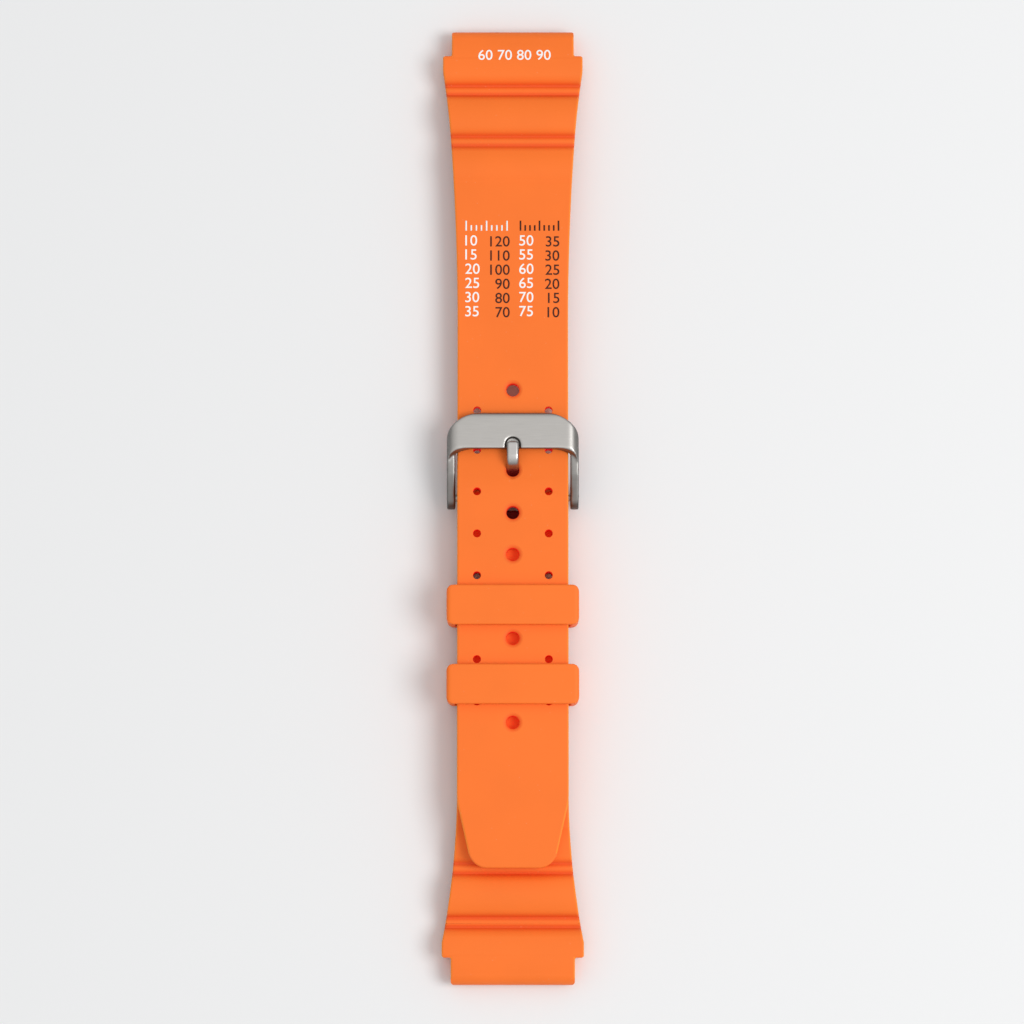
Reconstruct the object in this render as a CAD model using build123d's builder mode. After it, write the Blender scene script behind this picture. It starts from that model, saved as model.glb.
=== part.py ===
# An orange rubber dive strap, buckled and lying flat on its two lug ends.
# +Y runs to the lug end of the long piece, +X to its right and +Z up.
# The origin is on the table, under the middle of the whole strap. Lengths are in millimetres.

import math
import os

from build123d import *

os.makedirs("parts", exist_ok=True)

# The strap as a whole
LUG_WIDTH = 20.0
STRAP_WIDTH = 18.0
SHOULDER_WIDTH = 22.9
CLOSED_LENGTH = 156.0
BUCKLE_SHIFT = 0.84
TAIL_LENGTH = 60.1
LONG_THICKNESS = 2.5
SHORT_THICKNESS = 3.0
STRAP_GAP = 0.1
OVERRUN = 1.0

# The dip that takes the long piece from the short piece's back to its own level
DIP_DEPTH = 1.75
DIP_RADIUS = 14.0
DIP_SLOPE = 11.0

# The waved lug ends, alike on both pieces. Distances run along the strap from its end.
END_RADIUS = 2.1
END_CURVE = 180.0
LUG_BORE_RADIUS = 1.0
TAB_LENGTH = 4.4
TAB_CORNER = 0.5
SHOULDER_CORNER = 0.4
SHOULDER_LENGTH = 2.4
WAVE_START = 9.25
WAVE_PITCH = 8.55
RIB_WIDTH = 1.6
WAVE_END = 25.05
FIRST_CREST = 4.1
SECOND_CREST = 3.95
LONG_THIRD_CREST = 3.3
SHORT_THIRD_CREST = 3.1
CREASE_HEIGHT = 2.7
RIB_RISE = 0.42
CREASE_RADIUS = 0.22
LONG_WAVE_END_HEIGHT = 2.75
SHORT_WAVE_END_HEIGHT = 2.85
RELIEF_DEPTH = 0.5
RELIEF_MARGIN = 0.7

# The outlines from above
LONG_TAPER_KNEE = 18.9
LONG_TAPER_KNEE_WIDTH = 20.2
LONG_TAPER_LENGTH = 49.6
SHORT_TAPER_LENGTH = 31.9
TIP_TAPER_LENGTH = 10.7
TIP_TAPER_ANGLE = 12.7
TIP_CORNER = 3.0
TIP_SHOULDER_CORNER = 9.0
KNUCKLE_CORNER = 0.8

# The sizing holes
HOLE_COUNT = 9
HOLE_PITCH = 6.79
HOLE_FROM_TIP = 23.4
HOLE_RADIUS = 1.05
COUNTERSINK_RADIUS = 1.68
COUNTERSINK_ANGLE = 120.0
SIDE_HOLE_RADIUS = 0.63
SIDE_HOLE_SPACING = 11.6
SHORT_HOLE_INDEX = 3
TONGUE_HOLE_INDEX = 6

# The keepers
KEEPER_LENGTH = 6.43
KEEPER_WALL = 1.4
KEEPER_CLEARANCE = 0.15
KEEPER_SIDE_CLEARANCE = 0.3
KEEPER_OUTER_CORNER = 2.0
KEEPER_INNER_CORNER = 0.3
KEEPER_END_CORNER = 1.1
KEEPER_FLOOR_GAP = 0.3
UPPER_KEEPER_FROM_BAR = 17.75
KEEPER_SPACING = 12.8

# The spring bar
BARREL_RADIUS = 0.75
BARREL_BORE_RADIUS = 0.5
BARREL_LIP = 0.25
RUNNING_CLEARANCE = 0.05
TIP_PIVOT_RADIUS = 0.4
TIP_PIVOT_RECESS = 0.45
TIP_FLANGE_RADIUS = 0.65
TIP_FLANGE_WIDTH = 0.4
TIP_PIVOT_CHAMFER = 0.1
TIP_TRAVEL = 1.0
TIP_NECK_RADIUS = 0.3
TIP_HEAD_LENGTH = 2.2
SPRING_WIRE_RADIUS = 0.09
SPRING_WIRE_SIDES = 6
SPRING_TURNS = 8
GAP_STEPS = 16

# The buckle
ARM_GAP = 0.35
ARM_THICKNESS = 1.35
ARM_EYE_RADIUS = 1.9
BAR_REACH = 7.66
BAR_DEPTH = 5.85
BAR_THICKNESS = 1.5
BAR_STRAP_GAP = 0.23
BAR_TILT = 4.0
BAR_CORNER_WIDTH = 2.8
BAR_CORNER_DEPTH = 3.1
BAR_CORNER_RADIUS = 2.4
WINDOW_CORNER = 3.0
WINDOW_CORNER_RADIUS = 3.4
BEND_RADIUS = 1.75
BAR_EDGE_RADIUS = 0.7
ARM_ARCH_RADIUS = 9.6
ARM_ARCH_PLACE = 8.3
ARM_ARCH_DROP = 8.35
RECESS_WIDTH = 2.44
RECESS_LENGTH = 1.75
RECESS_DEPTH = 0.6

# The tongue
TONGUE_WIDTH = 1.95
TONGUE_THICKNESS = 1.1
TONGUE_ROUND = 0.5
TONGUE_TIP_ROUND = 0.4
TONGUE_EYE_WALL = 0.65
TONGUE_LOWER_BEND = 1.6
TONGUE_UPPER_BEND = 2.0
TONGUE_TIP_OVERLAP = 1.1
TONGUE_SEAT_GAP = 0.05
TONGUE_HOLE_OFFSET = 0.1
SLOT_WIDTH = 2.45
SLOT_LENGTH = 2.0

# Levels and places that follow from the sizes above
short_base = KEEPER_FLOOR_GAP + KEEPER_WALL + KEEPER_CLEARANCE
tail_base = short_base + SHORT_THICKNESS + STRAP_GAP
tail_top = tail_base + LONG_THICKNESS
long_base = tail_base - DIP_DEPTH
bar_y = BUCKLE_SHIFT
bar_z = short_base + SHORT_THICKNESS / 2
tail_tip_y = bar_y - TAIL_LENGTH
knuckle_bore_radius = BARREL_RADIUS + RUNNING_CLEARANCE
whole_height = tail_top + KEEPER_CLEARANCE + KEEPER_WALL
window_half = STRAP_WIDTH / 2 + ARM_GAP
buckle_half = window_half + ARM_THICKNESS


# A lug end is drawn by distance from its tip and height above its curved underside.
def lug_curve(base):
    tilt = math.acos(1 - base / (END_CURVE + END_RADIUS))
    start = CLOSED_LENGTH / 2 - END_RADIUS - (END_CURVE + END_RADIUS) * math.sin(tilt)
    return tilt, start


def lug_point(side, base, distance, height):
    tilt, start = lug_curve(base)
    angle = tilt - (distance - END_RADIUS) / END_CURVE
    if angle < 0:
        return side * (start + angle * END_CURVE), base + height
    along = start + (END_CURVE + height) * math.sin(angle)
    up = base - END_CURVE + (END_CURVE + height) * math.cos(angle)
    return side * along, up


def curve_length(base):
    return END_RADIUS + lug_curve(base)[0] * END_CURVE


# Each arc of a lug end runs through three points given as distance and height.
def lug_arc(side, base, first, middle, last):
    ThreePointArc(
        lug_point(side, base, *first),
        lug_point(side, base, *middle),
        lug_point(side, base, *last),
    )


# The waves: three humps, with a narrow rib in the double crease between two humps.
def draw_waves(side, base, third_crest, end_height):
    second_start = WAVE_START + RIB_WIDTH
    second_end = WAVE_START + WAVE_PITCH
    third_start = second_end + RIB_WIDTH
    bore_y, bore_z = lug_point(side, base, END_RADIUS, END_RADIUS)
    tilt = lug_curve(base)[0]
    nose = (bore_y + side * END_RADIUS * math.cos(tilt), bore_z - END_RADIUS * math.sin(tilt))
    ThreePointArc(
        lug_point(side, base, END_RADIUS, 0), nose, lug_point(side, base, END_RADIUS, 2 * END_RADIUS)
    )
    first_middle = (END_RADIUS + WAVE_START) / 2
    lug_arc(
        side, base, (END_RADIUS, 2 * END_RADIUS), (first_middle, FIRST_CREST), (WAVE_START, CREASE_HEIGHT)
    )
    for crease in (WAVE_START, second_end):
        lug_arc(
            side,
            base,
            (crease, CREASE_HEIGHT),
            (crease + RIB_WIDTH / 2, CREASE_HEIGHT + RIB_RISE),
            (crease + RIB_WIDTH, CREASE_HEIGHT),
        )
    lug_arc(
        side,
        base,
        (second_start, CREASE_HEIGHT),
        ((second_start + second_end) / 2, SECOND_CREST),
        (second_end, CREASE_HEIGHT),
    )
    third_middle = (third_start + WAVE_END) / 2
    lug_arc(
        side, base, (third_start, CREASE_HEIGHT), (third_middle, third_crest), (WAVE_END, end_height)
    )
    return [(crease, CREASE_HEIGHT) for crease in (WAVE_START, second_start, second_end, third_start)]


# The underside: a shallow hollow behind the second and the third hump.
def draw_underside(side, base):
    second_end = WAVE_START + WAVE_PITCH
    hollows = [
        (WAVE_START + RIB_WIDTH + RELIEF_MARGIN, second_end - RELIEF_MARGIN),
        (second_end + RIB_WIDTH + RELIEF_MARGIN, WAVE_END - RELIEF_MARGIN),
    ]
    reached = END_RADIUS
    for first, last in hollows:
        lug_arc(side, base, (reached, 0), ((reached + first) / 2, 0), (first, 0))
        lug_arc(side, base, (first, 0), ((first + last) / 2, RELIEF_DEPTH), (last, 0))
        reached = last
    end = curve_length(base)
    lug_arc(side, base, (reached, 0), ((reached + end) / 2, 0), (end, 0))


def round_creases(side, base, sketch, creases):
    corners = [
        sketch.vertices().sort_by_distance((*lug_point(side, base, *crease), 0))[0] for crease in creases
    ]
    fillet(corners, CREASE_RADIUS)


# Half of a lug end's outline from above: the tab between the lugs, then the wider shoulder.
def draw_tab(side):
    end = side * CLOSED_LENGTH / 2
    shoulder = end - side * TAB_LENGTH
    neck = shoulder - side * SHOULDER_LENGTH
    Polyline(
        (0, end),
        (LUG_WIDTH / 2, end),
        (LUG_WIDTH / 2, shoulder),
        (SHOULDER_WIDTH / 2, shoulder),
        (SHOULDER_WIDTH / 2, neck),
    )
    return neck


def round_tab(sketch, side):
    end = side * CLOSED_LENGTH / 2
    shoulder = end - side * TAB_LENGTH
    for sign in (-1, 1):
        tab = sketch.vertices().sort_by_distance((sign * LUG_WIDTH / 2, end, 0))[0]
        fillet(tab, TAB_CORNER)
        corner = sketch.vertices().sort_by_distance((sign * SHOULDER_WIDTH / 2, shoulder, 0))[0]
        fillet(corner, SHOULDER_CORNER)


# The dip: flat tail, an arc down, a straight ramp and an arc back to level.
dip_angle = math.radians(DIP_SLOPE)
dip_arc_drop = DIP_RADIUS * (1 - math.cos(dip_angle))
dip_arc_length = DIP_RADIUS * math.sin(dip_angle)
ramp_drop = DIP_DEPTH - 2 * dip_arc_drop
ramp_length = ramp_drop / math.sin(dip_angle)
dip_start = bar_y
dip_end = dip_start + 2 * dip_arc_length + ramp_length * math.cos(dip_angle)


def dip_point(angle_share, height, lower):
    angle = dip_angle * angle_share
    if lower:
        radius = DIP_RADIUS - height
        return dip_end - radius * math.sin(angle), long_base + DIP_RADIUS - radius * math.cos(angle)
    radius = DIP_RADIUS + height
    return dip_start + radius * math.sin(angle), tail_base - DIP_RADIUS + radius * math.cos(angle)


def draw_dip(height):
    ThreePointArc(
        dip_point(0, height, False), dip_point(1 / 2, height, False), dip_point(1, height, False)
    )
    Line(dip_point(1, height, False), dip_point(1, height, True))
    ThreePointArc(dip_point(1, height, True), dip_point(1 / 2, height, True), dip_point(0, height, True))


# A plane on the long strap's top, at a distance along its middle layer from the start of the dip.
def strap_top(x, station):
    first_bend = (DIP_RADIUS + LONG_THICKNESS / 2) * dip_angle
    second_bend = (DIP_RADIUS - LONG_THICKNESS / 2) * dip_angle
    ramp_end = first_bend + ramp_length
    if station <= 0:
        y, z, slope = dip_start + station, tail_top, 0
    elif station <= first_bend:
        slope = dip_angle * station / first_bend
        y, z = dip_point(station / first_bend, LONG_THICKNESS, False)
    elif station <= ramp_end:
        slope = dip_angle
        y, z = dip_point(1, LONG_THICKNESS, False)
        y += (station - first_bend) * math.cos(slope)
        z -= (station - first_bend) * math.sin(slope)
    elif station <= ramp_end + second_bend:
        share = 1 - (station - ramp_end) / second_bend
        slope = dip_angle * share
        y, z = dip_point(share, LONG_THICKNESS, True)
    else:
        y, z, slope = dip_end + station - ramp_end - second_bend, long_base + LONG_THICKNESS, 0
    return Plane(origin=(x, y, z), x_dir=(1, 0, 0), z_dir=(0, math.sin(slope), math.cos(slope)))


hole_start = tail_tip_y + HOLE_FROM_TIP - dip_start
hole_stations = [hole_start + index * HOLE_PITCH for index in range(HOLE_COUNT)]
side_stations = [station + HOLE_PITCH / 2 for station in hole_stations[:-1]]

# The long piece: side view first, then the outline from above, then the holes
with BuildPart() as long_strap:
    with BuildSketch(Plane.YZ) as long_side:
        with BuildLine():
            long_creases = draw_waves(1, long_base, LONG_THIRD_CREST, LONG_WAVE_END_HEIGHT)
            draw_underside(1, long_base)
            long_curve = curve_length(long_base)
            lug_arc(
                1,
                long_base,
                (WAVE_END, LONG_WAVE_END_HEIGHT),
                ((WAVE_END + long_curve) / 2, (LONG_WAVE_END_HEIGHT + LONG_THICKNESS) / 2),
                (long_curve, LONG_THICKNESS),
            )
            Line(lug_point(1, long_base, long_curve, LONG_THICKNESS), (dip_end, long_base + LONG_THICKNESS))
            draw_dip(LONG_THICKNESS)
            Polyline(
                (dip_start, tail_top), (tail_tip_y, tail_top), (tail_tip_y, tail_base), (dip_start, tail_base)
            )
            draw_dip(0)
            Line((dip_end, long_base), lug_point(1, long_base, long_curve, 0))
        make_face()
        round_creases(1, long_base, long_side, long_creases)
    extrude(amount=SHOULDER_WIDTH / 2 + OVERRUN, both=True)
    with BuildSketch() as long_outline:
        with BuildLine():
            neck_y = draw_tab(1)
            knee = (LONG_TAPER_KNEE_WIDTH / 2, CLOSED_LENGTH / 2 - LONG_TAPER_KNEE)
            taper_end = (STRAP_WIDTH / 2, CLOSED_LENGTH / 2 - LONG_TAPER_LENGTH)
            lower_taper = TangentArc(taper_end, knee, tangent=(0, 1))
            TangentArc(knee, (SHOULDER_WIDTH / 2, neck_y), tangent=lower_taper % 1)
            tip_half = STRAP_WIDTH / 2 - TIP_TAPER_LENGTH * math.tan(math.radians(TIP_TAPER_ANGLE))
            Polyline(
                taper_end,
                (STRAP_WIDTH / 2, tail_tip_y + TIP_TAPER_LENGTH),
                (tip_half, tail_tip_y),
                (0, tail_tip_y),
            )
            mirror(about=Plane.YZ)
        make_face()
        for sign in (-1, 1):
            tip = long_outline.vertices().sort_by_distance((sign * tip_half, tail_tip_y, 0))[0]
            fillet(tip, TIP_CORNER)
            tip_shoulder = (sign * STRAP_WIDTH / 2, tail_tip_y + TIP_TAPER_LENGTH, 0)
            fillet(long_outline.vertices().sort_by_distance(tip_shoulder)[0], TIP_SHOULDER_CORNER)
        round_tab(long_outline, 1)
    extrude(amount=whole_height, mode=Mode.INTERSECT)

    with Locations(*[strap_top(0, station) for station in hole_stations]):
        CounterSinkHole(HOLE_RADIUS, COUNTERSINK_RADIUS, 2 * LONG_THICKNESS, COUNTERSINK_ANGLE)
    side_x = SIDE_HOLE_SPACING / 2
    with Locations(*[strap_top(x, station) for station in side_stations for x in (-side_x, side_x)]):
        Hole(SIDE_HOLE_RADIUS, 2 * LONG_THICKNESS)
    with BuildSketch(Plane.YZ):
        with Locations(lug_point(1, long_base, END_RADIUS, END_RADIUS)):
            Circle(LUG_BORE_RADIUS)
    extrude(amount=LUG_WIDTH, both=True, mode=Mode.SUBTRACT)
long_strap.part.label = "long_strap"
export_step(long_strap.part, "parts/long_strap.step")

# The short piece: the same waved end, a plain body and a round knuckle about the spring bar
with BuildPart() as short_strap:
    with BuildSketch(Plane.YZ) as short_side:
        with BuildLine():
            short_creases = draw_waves(-1, short_base, SHORT_THIRD_CREST, SHORT_WAVE_END_HEIGHT)
            draw_underside(-1, short_base)
            short_curve = curve_length(short_base)
            lug_arc(
                -1,
                short_base,
                (WAVE_END, SHORT_WAVE_END_HEIGHT),
                ((WAVE_END + short_curve) / 2, (SHORT_WAVE_END_HEIGHT + SHORT_THICKNESS) / 2),
                (short_curve, SHORT_THICKNESS),
            )
            knuckle_top = (bar_y, short_base + SHORT_THICKNESS)
            Line(lug_point(-1, short_base, short_curve, SHORT_THICKNESS), knuckle_top)
            ThreePointArc(knuckle_top, (bar_y + SHORT_THICKNESS / 2, bar_z), (bar_y, short_base))
            Line((bar_y, short_base), lug_point(-1, short_base, short_curve, 0))
        make_face()
        round_creases(-1, short_base, short_side, short_creases)
    extrude(amount=SHOULDER_WIDTH / 2 + OVERRUN, both=True)
    with BuildSketch() as short_outline:
        with BuildLine():
            neck_y = draw_tab(-1)
            taper_end = (STRAP_WIDTH / 2, -CLOSED_LENGTH / 2 + SHORT_TAPER_LENGTH)
            TangentArc(taper_end, (SHOULDER_WIDTH / 2, neck_y), tangent=(0, -1))
            knuckle_end = bar_y + SHORT_THICKNESS / 2
            Polyline(taper_end, (STRAP_WIDTH / 2, knuckle_end), (0, knuckle_end))
            mirror(about=Plane.YZ)
        make_face()
        fillet(short_outline.vertices().group_by(Axis.Y)[-1], KNUCKLE_CORNER)
        round_tab(short_outline, -1)
    extrude(amount=whole_height, mode=Mode.INTERSECT)
    with BuildSketch():
        with Locations((0, bar_y - SLOT_LENGTH)):
            Rectangle(SLOT_WIDTH, SLOT_LENGTH + SHORT_THICKNESS, align=(Align.CENTER, Align.MIN))
    extrude(amount=whole_height, mode=Mode.SUBTRACT)
    with BuildSketch(Plane.YZ):
        with Locations(lug_point(-1, short_base, END_RADIUS, END_RADIUS)):
            Circle(LUG_BORE_RADIUS)
        with Locations((bar_y, bar_z)):
            Circle(knuckle_bore_radius)
    extrude(amount=LUG_WIDTH, both=True, mode=Mode.SUBTRACT)
    short_hole_y = dip_start + side_stations[SHORT_HOLE_INDEX]
    with Locations((-side_x, short_hole_y, bar_z), (side_x, short_hole_y, bar_z)):
        Hole(SIDE_HOLE_RADIUS, SHORT_THICKNESS)
short_strap.part.label = "short_strap"
export_step(short_strap.part, "parts/short_strap.step")


# A keeper is a loop of rounded rectangular section that slides along both pieces.
def make_keeper(end_y):
    inner_width = STRAP_WIDTH + 2 * KEEPER_SIDE_CLEARANCE
    outer_width = inner_width + 2 * KEEPER_WALL
    inner_height = tail_top - short_base + 2 * KEEPER_CLEARANCE
    middle_z = (tail_top + short_base) / 2
    with BuildPart() as keeper:
        with BuildSketch(Plane.XZ.offset(-end_y)):
            with Locations((0, middle_z)):
                RectangleRounded(outer_width, inner_height + 2 * KEEPER_WALL, KEEPER_OUTER_CORNER)
        extrude(amount=KEEPER_LENGTH)
        with BuildSketch():
            with Locations((0, end_y - KEEPER_LENGTH / 2)):
                RectangleRounded(outer_width, KEEPER_LENGTH, KEEPER_END_CORNER)
        extrude(amount=whole_height, mode=Mode.INTERSECT)
        with BuildSketch(Plane.XZ.offset(-end_y)):
            with Locations((0, middle_z)):
                RectangleRounded(inner_width, inner_height, KEEPER_INNER_CORNER)
        extrude(amount=KEEPER_LENGTH, mode=Mode.SUBTRACT)
    return keeper


upper_keeper_end = bar_y - UPPER_KEEPER_FROM_BAR + KEEPER_LENGTH / 2
upper_keeper = make_keeper(upper_keeper_end)
upper_keeper.part.label = "upper_keeper"
export_step(upper_keeper.part, "parts/upper_keeper.step")
lower_keeper = make_keeper(upper_keeper_end - KEEPER_SPACING)
lower_keeper.part.label = "lower_keeper"
export_step(lower_keeper.part, "parts/lower_keeper.step")

# The buckle: a thick sheet bent down at both sides, its bar resting over the long piece
bar_inner_y = bar_y + BAR_REACH
bar_bottom_z = strap_top(0, BAR_REACH).origin.Z + BAR_STRAP_GAP
bar_angle = math.radians(BAR_TILT)
bar_normal = Vector(0, math.sin(bar_angle), math.cos(bar_angle))
bar_along = Vector(0, math.cos(bar_angle), -math.sin(bar_angle))


# A point of the bar: distance outwards from its inner edge and height above its underside.
def bar_point(distance, height):
    point = Vector(0, bar_inner_y, bar_bottom_z) + bar_along * distance + bar_normal * height
    return point.Y, point.Z


# A corner of the window wraps round its bend, so it is cut along the diagonal between bar and arm.
def window_corner(side):
    outer_corner = Vector(side * buckle_half, 0, bar_bottom_z + BAR_THICKNESS)
    diagonal = Plane(origin=outer_corner, x_dir=(0, 1, 0), z_dir=(side, 0, 1))
    middle_x = side * (window_half - WINDOW_CORNER)
    cut_end = bar_z + ARM_EYE_RADIUS + ARM_THICKNESS
    open_end = bar_y - ARM_EYE_RADIUS - OVERRUN
    outline = [
        (middle_x, bar_inner_y, bar_bottom_z + BAR_THICKNESS),
        (side * buckle_half, bar_inner_y, bar_bottom_z),
        (side * buckle_half, bar_y, cut_end),
        (side * buckle_half, open_end, cut_end),
        (middle_x, open_end, bar_bottom_z + BAR_THICKNESS + OVERRUN),
    ]
    flat = [diagonal.to_local_coords(Vector(*point)) for point in outline]
    with BuildSketch(diagonal) as corner:
        with BuildLine():
            Polyline(*[(point.X, point.Y) for point in flat], (flat[0].X, flat[-1].Y), close=True)
        make_face()
        fillet(corner.vertices().sort_by_distance((flat[1].X, flat[1].Y, 0))[0], WINDOW_CORNER_RADIUS)
    return corner.sketch


with BuildPart() as buckle_frame:
    channel_plane = Plane(
        origin=(0, *bar_point(BAR_DEPTH + OVERRUN, 0)), x_dir=(1, 0, 0), z_dir=bar_along * -1
    )
    with BuildSketch(channel_plane) as channel:
        with Locations((0, BAR_THICKNESS)):
            Rectangle(2 * buckle_half, whole_height, align=(Align.CENTER, Align.MAX))
        fillet(channel.vertices().group_by(Axis.Y)[-1], BEND_RADIUS)
    extrude(amount=BAR_DEPTH + BAR_REACH + 2 * ARM_EYE_RADIUS + OVERRUN)
    with BuildSketch(Plane.YZ) as buckle_side:
        with BuildLine():
            Polyline(
                bar_point(0, 0),
                bar_point(BAR_DEPTH, 0),
                bar_point(BAR_DEPTH, BAR_THICKNESS),
                bar_point(0, BAR_THICKNESS),
                close=True,
            )
            CenterArc((bar_y, bar_z), ARM_EYE_RADIUS, 0, 360)
        make_hull()
        outer_top = (*bar_point(BAR_DEPTH, BAR_THICKNESS), 0)
        fillet(buckle_side.vertices().sort_by_distance(outer_top)[0], BAR_EDGE_RADIUS)
        with Locations((bar_y + ARM_ARCH_PLACE, bar_z - ARM_ARCH_DROP)):
            Circle(ARM_ARCH_RADIUS, mode=Mode.SUBTRACT)
    extrude(amount=buckle_half, both=True, mode=Mode.INTERSECT)
    with BuildSketch() as buckle_outline:
        arm_end_y = bar_y - ARM_EYE_RADIUS - OVERRUN
        outer_y = bar_point(BAR_DEPTH, BAR_THICKNESS)[0]
        corner_side = (buckle_half, outer_y - BAR_CORNER_DEPTH)
        corner_end = (buckle_half - BAR_CORNER_WIDTH, outer_y)
        with BuildLine():
            Polyline((0, arm_end_y), (buckle_half, arm_end_y), corner_side, corner_end, (0, outer_y))
            mirror(about=Plane.YZ)
        make_face()
        for corner_x, corner_y in (corner_side, corner_end):
            for sign in (-1, 1):
                corner = buckle_outline.vertices().sort_by_distance((sign * corner_x, corner_y, 0))[0]
                fillet(corner, BAR_CORNER_RADIUS)
    extrude(amount=whole_height, mode=Mode.INTERSECT)

    with BuildSketch(Plane.YZ):
        with BuildLine():
            roof_rise = (bar_inner_y - arm_end_y) * math.tan(dip_angle)
            Polyline(
                (arm_end_y, bar_bottom_z + roof_rise),
                bar_point(0, 0),
                bar_point(BAR_DEPTH + OVERRUN, 0),
                (bar_point(BAR_DEPTH + OVERRUN, 0)[0], 0),
                (arm_end_y, 0),
                close=True,
            )
        make_face()
    extrude(amount=window_half, both=True, mode=Mode.SUBTRACT)
    with BuildSketch():
        with Locations((0, bar_inner_y)):
            Rectangle(
                2 * (window_half - WINDOW_CORNER),
                bar_inner_y - arm_end_y,
                align=(Align.CENTER, Align.MAX),
            )
    extrude(amount=whole_height, mode=Mode.SUBTRACT)
    extrude(window_corner(-1), amount=-2 * WINDOW_CORNER, mode=Mode.SUBTRACT)
    extrude(window_corner(1), amount=-2 * WINDOW_CORNER, mode=Mode.SUBTRACT)

    recess_plane = Plane(origin=(0, *bar_point(0, BAR_THICKNESS)), x_dir=(1, 0, 0), z_dir=bar_normal)
    with BuildSketch(recess_plane):
        with Locations((0, RECESS_LENGTH - RECESS_WIDTH / 2)):
            Circle(RECESS_WIDTH / 2)
            Rectangle(RECESS_WIDTH, RECESS_LENGTH, align=(Align.CENTER, Align.MAX))
    extrude(amount=-RECESS_DEPTH, mode=Mode.SUBTRACT)
    with BuildSketch(Plane.YZ):
        with Locations((bar_y, bar_z)):
            Circle(TIP_PIVOT_RADIUS + RUNNING_CLEARANCE)
    extrude(amount=2 * buckle_half, both=True, mode=Mode.SUBTRACT)
buckle_frame.part.label = "buckle_frame"
export_step(buckle_frame.part, "parts/buckle_frame.step")

spring_bar_axis = Axis((0, bar_y, bar_z), (1, 0, 0))
barrel_half = window_half - 2 * RUNNING_CLEARANCE - TIP_FLANGE_WIDTH - TIP_TRAVEL

# The spring bar's barrel, with a lip turned in at each end that keeps the sprung tips captive
with BuildPart() as spring_bar_tube:
    with BuildSketch(Plane.YZ):
        with Locations((bar_y, bar_z)):
            Circle(BARREL_RADIUS)
            Circle(TIP_NECK_RADIUS + RUNNING_CLEARANCE, mode=Mode.SUBTRACT)
    extrude(amount=barrel_half, both=True)
    with BuildSketch(Plane.YZ):
        with Locations((bar_y, bar_z)):
            Circle(BARREL_BORE_RADIUS)
    extrude(amount=barrel_half - BARREL_LIP, both=True, mode=Mode.SUBTRACT)
spring_bar_tube.part.label = "spring_bar_tube"
export_step(spring_bar_tube.part, "parts/spring_bar_tube.step")


# A sprung tip: the head inside the barrel, a neck through the lip, a flange and the pivot in the arm.
def make_tip(side):
    head_outer = barrel_half - BARREL_LIP - RUNNING_CLEARANCE
    head_inner = head_outer - TIP_HEAD_LENGTH
    head_radius = BARREL_BORE_RADIUS - RUNNING_CLEARANCE
    flange_outer = window_half - RUNNING_CLEARANCE
    flange_inner = flange_outer - TIP_FLANGE_WIDTH
    pivot_end = buckle_half - TIP_PIVOT_RECESS
    with BuildPart() as tip:
        with BuildSketch(Plane(origin=(0, bar_y, bar_z), x_dir=(side, 0, 0), z_dir=(0, -side, 0))) as turned:
            with BuildLine():
                Polyline(
                    (head_inner, 0),
                    (head_inner, head_radius),
                    (head_outer, head_radius),
                    (head_outer, TIP_NECK_RADIUS),
                    (flange_inner, TIP_NECK_RADIUS),
                    (flange_inner, TIP_FLANGE_RADIUS),
                    (flange_outer, TIP_FLANGE_RADIUS),
                    (flange_outer, TIP_PIVOT_RADIUS),
                    (pivot_end, TIP_PIVOT_RADIUS),
                    (pivot_end, 0),
                    close=True,
                )
            make_face()
            nose = turned.vertices().sort_by_distance((pivot_end, TIP_PIVOT_RADIUS, 0))[0]
            chamfer(nose, TIP_PIVOT_CHAMFER)
        revolve(axis=spring_bar_axis)
    return tip


spring_bar_tip_left = make_tip(-1)
spring_bar_tip_left.part.label = "spring_bar_tip_left"
export_step(spring_bar_tip_left.part, "parts/spring_bar_tip_left.step")
spring_bar_tip_right = make_tip(1)
spring_bar_tip_right.part.label = "spring_bar_tip_right"
export_step(spring_bar_tip_right.part, "parts/spring_bar_tip_right.step")

# The coil spring between the two heads: one wire, each quarter turn drawn as two tangent arcs
spring_radius = BARREL_BORE_RADIUS - RUNNING_CLEARANCE - SPRING_WIRE_RADIUS
spring_half = barrel_half - BARREL_LIP - 2 * RUNNING_CLEARANCE - TIP_HEAD_LENGTH - SPRING_WIRE_RADIUS
spring_pitch = 2 * spring_half / SPRING_TURNS


def coil_point(turn):
    angle = 2 * math.pi * turn
    return Vector(
        spring_pitch * turn - spring_half,
        bar_y + spring_radius * math.cos(angle),
        bar_z + spring_radius * math.sin(angle),
    )


def coil_direction(turn):
    angle = 2 * math.pi * turn
    round_speed = 2 * math.pi * spring_radius
    return Vector(
        spring_pitch, -round_speed * math.sin(angle), round_speed * math.cos(angle)
    ).normalized()


with BuildPart() as spring_bar_spring:
    with BuildLine():
        for quarter in range(4 * SPRING_TURNS):
            first, last = coil_point(quarter / 4), coil_point((quarter + 1) / 4)
            leaving, arriving = coil_direction(quarter / 4), coil_direction((quarter + 1) / 4)
            chord = last - first
            both = leaving + arriving
            turned_share = 2 * (1 - leaving.dot(arriving))
            root = math.sqrt(chord.dot(both) ** 2 + turned_share * chord.dot(chord))
            handle = (root - chord.dot(both)) / turned_share
            first_handle = first + leaving * handle
            last_handle = last - arriving * handle
            joint = (first_handle + last_handle) / 2
            TangentArc(first, joint, tangent=leaving)
            TangentArc(joint, last, tangent=(last_handle - first_handle).normalized())
    with BuildSketch(Plane(origin=coil_point(0), z_dir=coil_direction(0))):
        RegularPolygon(SPRING_WIRE_RADIUS, SPRING_WIRE_SIDES)
    sweep()
spring_bar_spring.part.label = "spring_bar_spring"
export_step(spring_bar_spring.part, "parts/spring_bar_spring.step")

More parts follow.
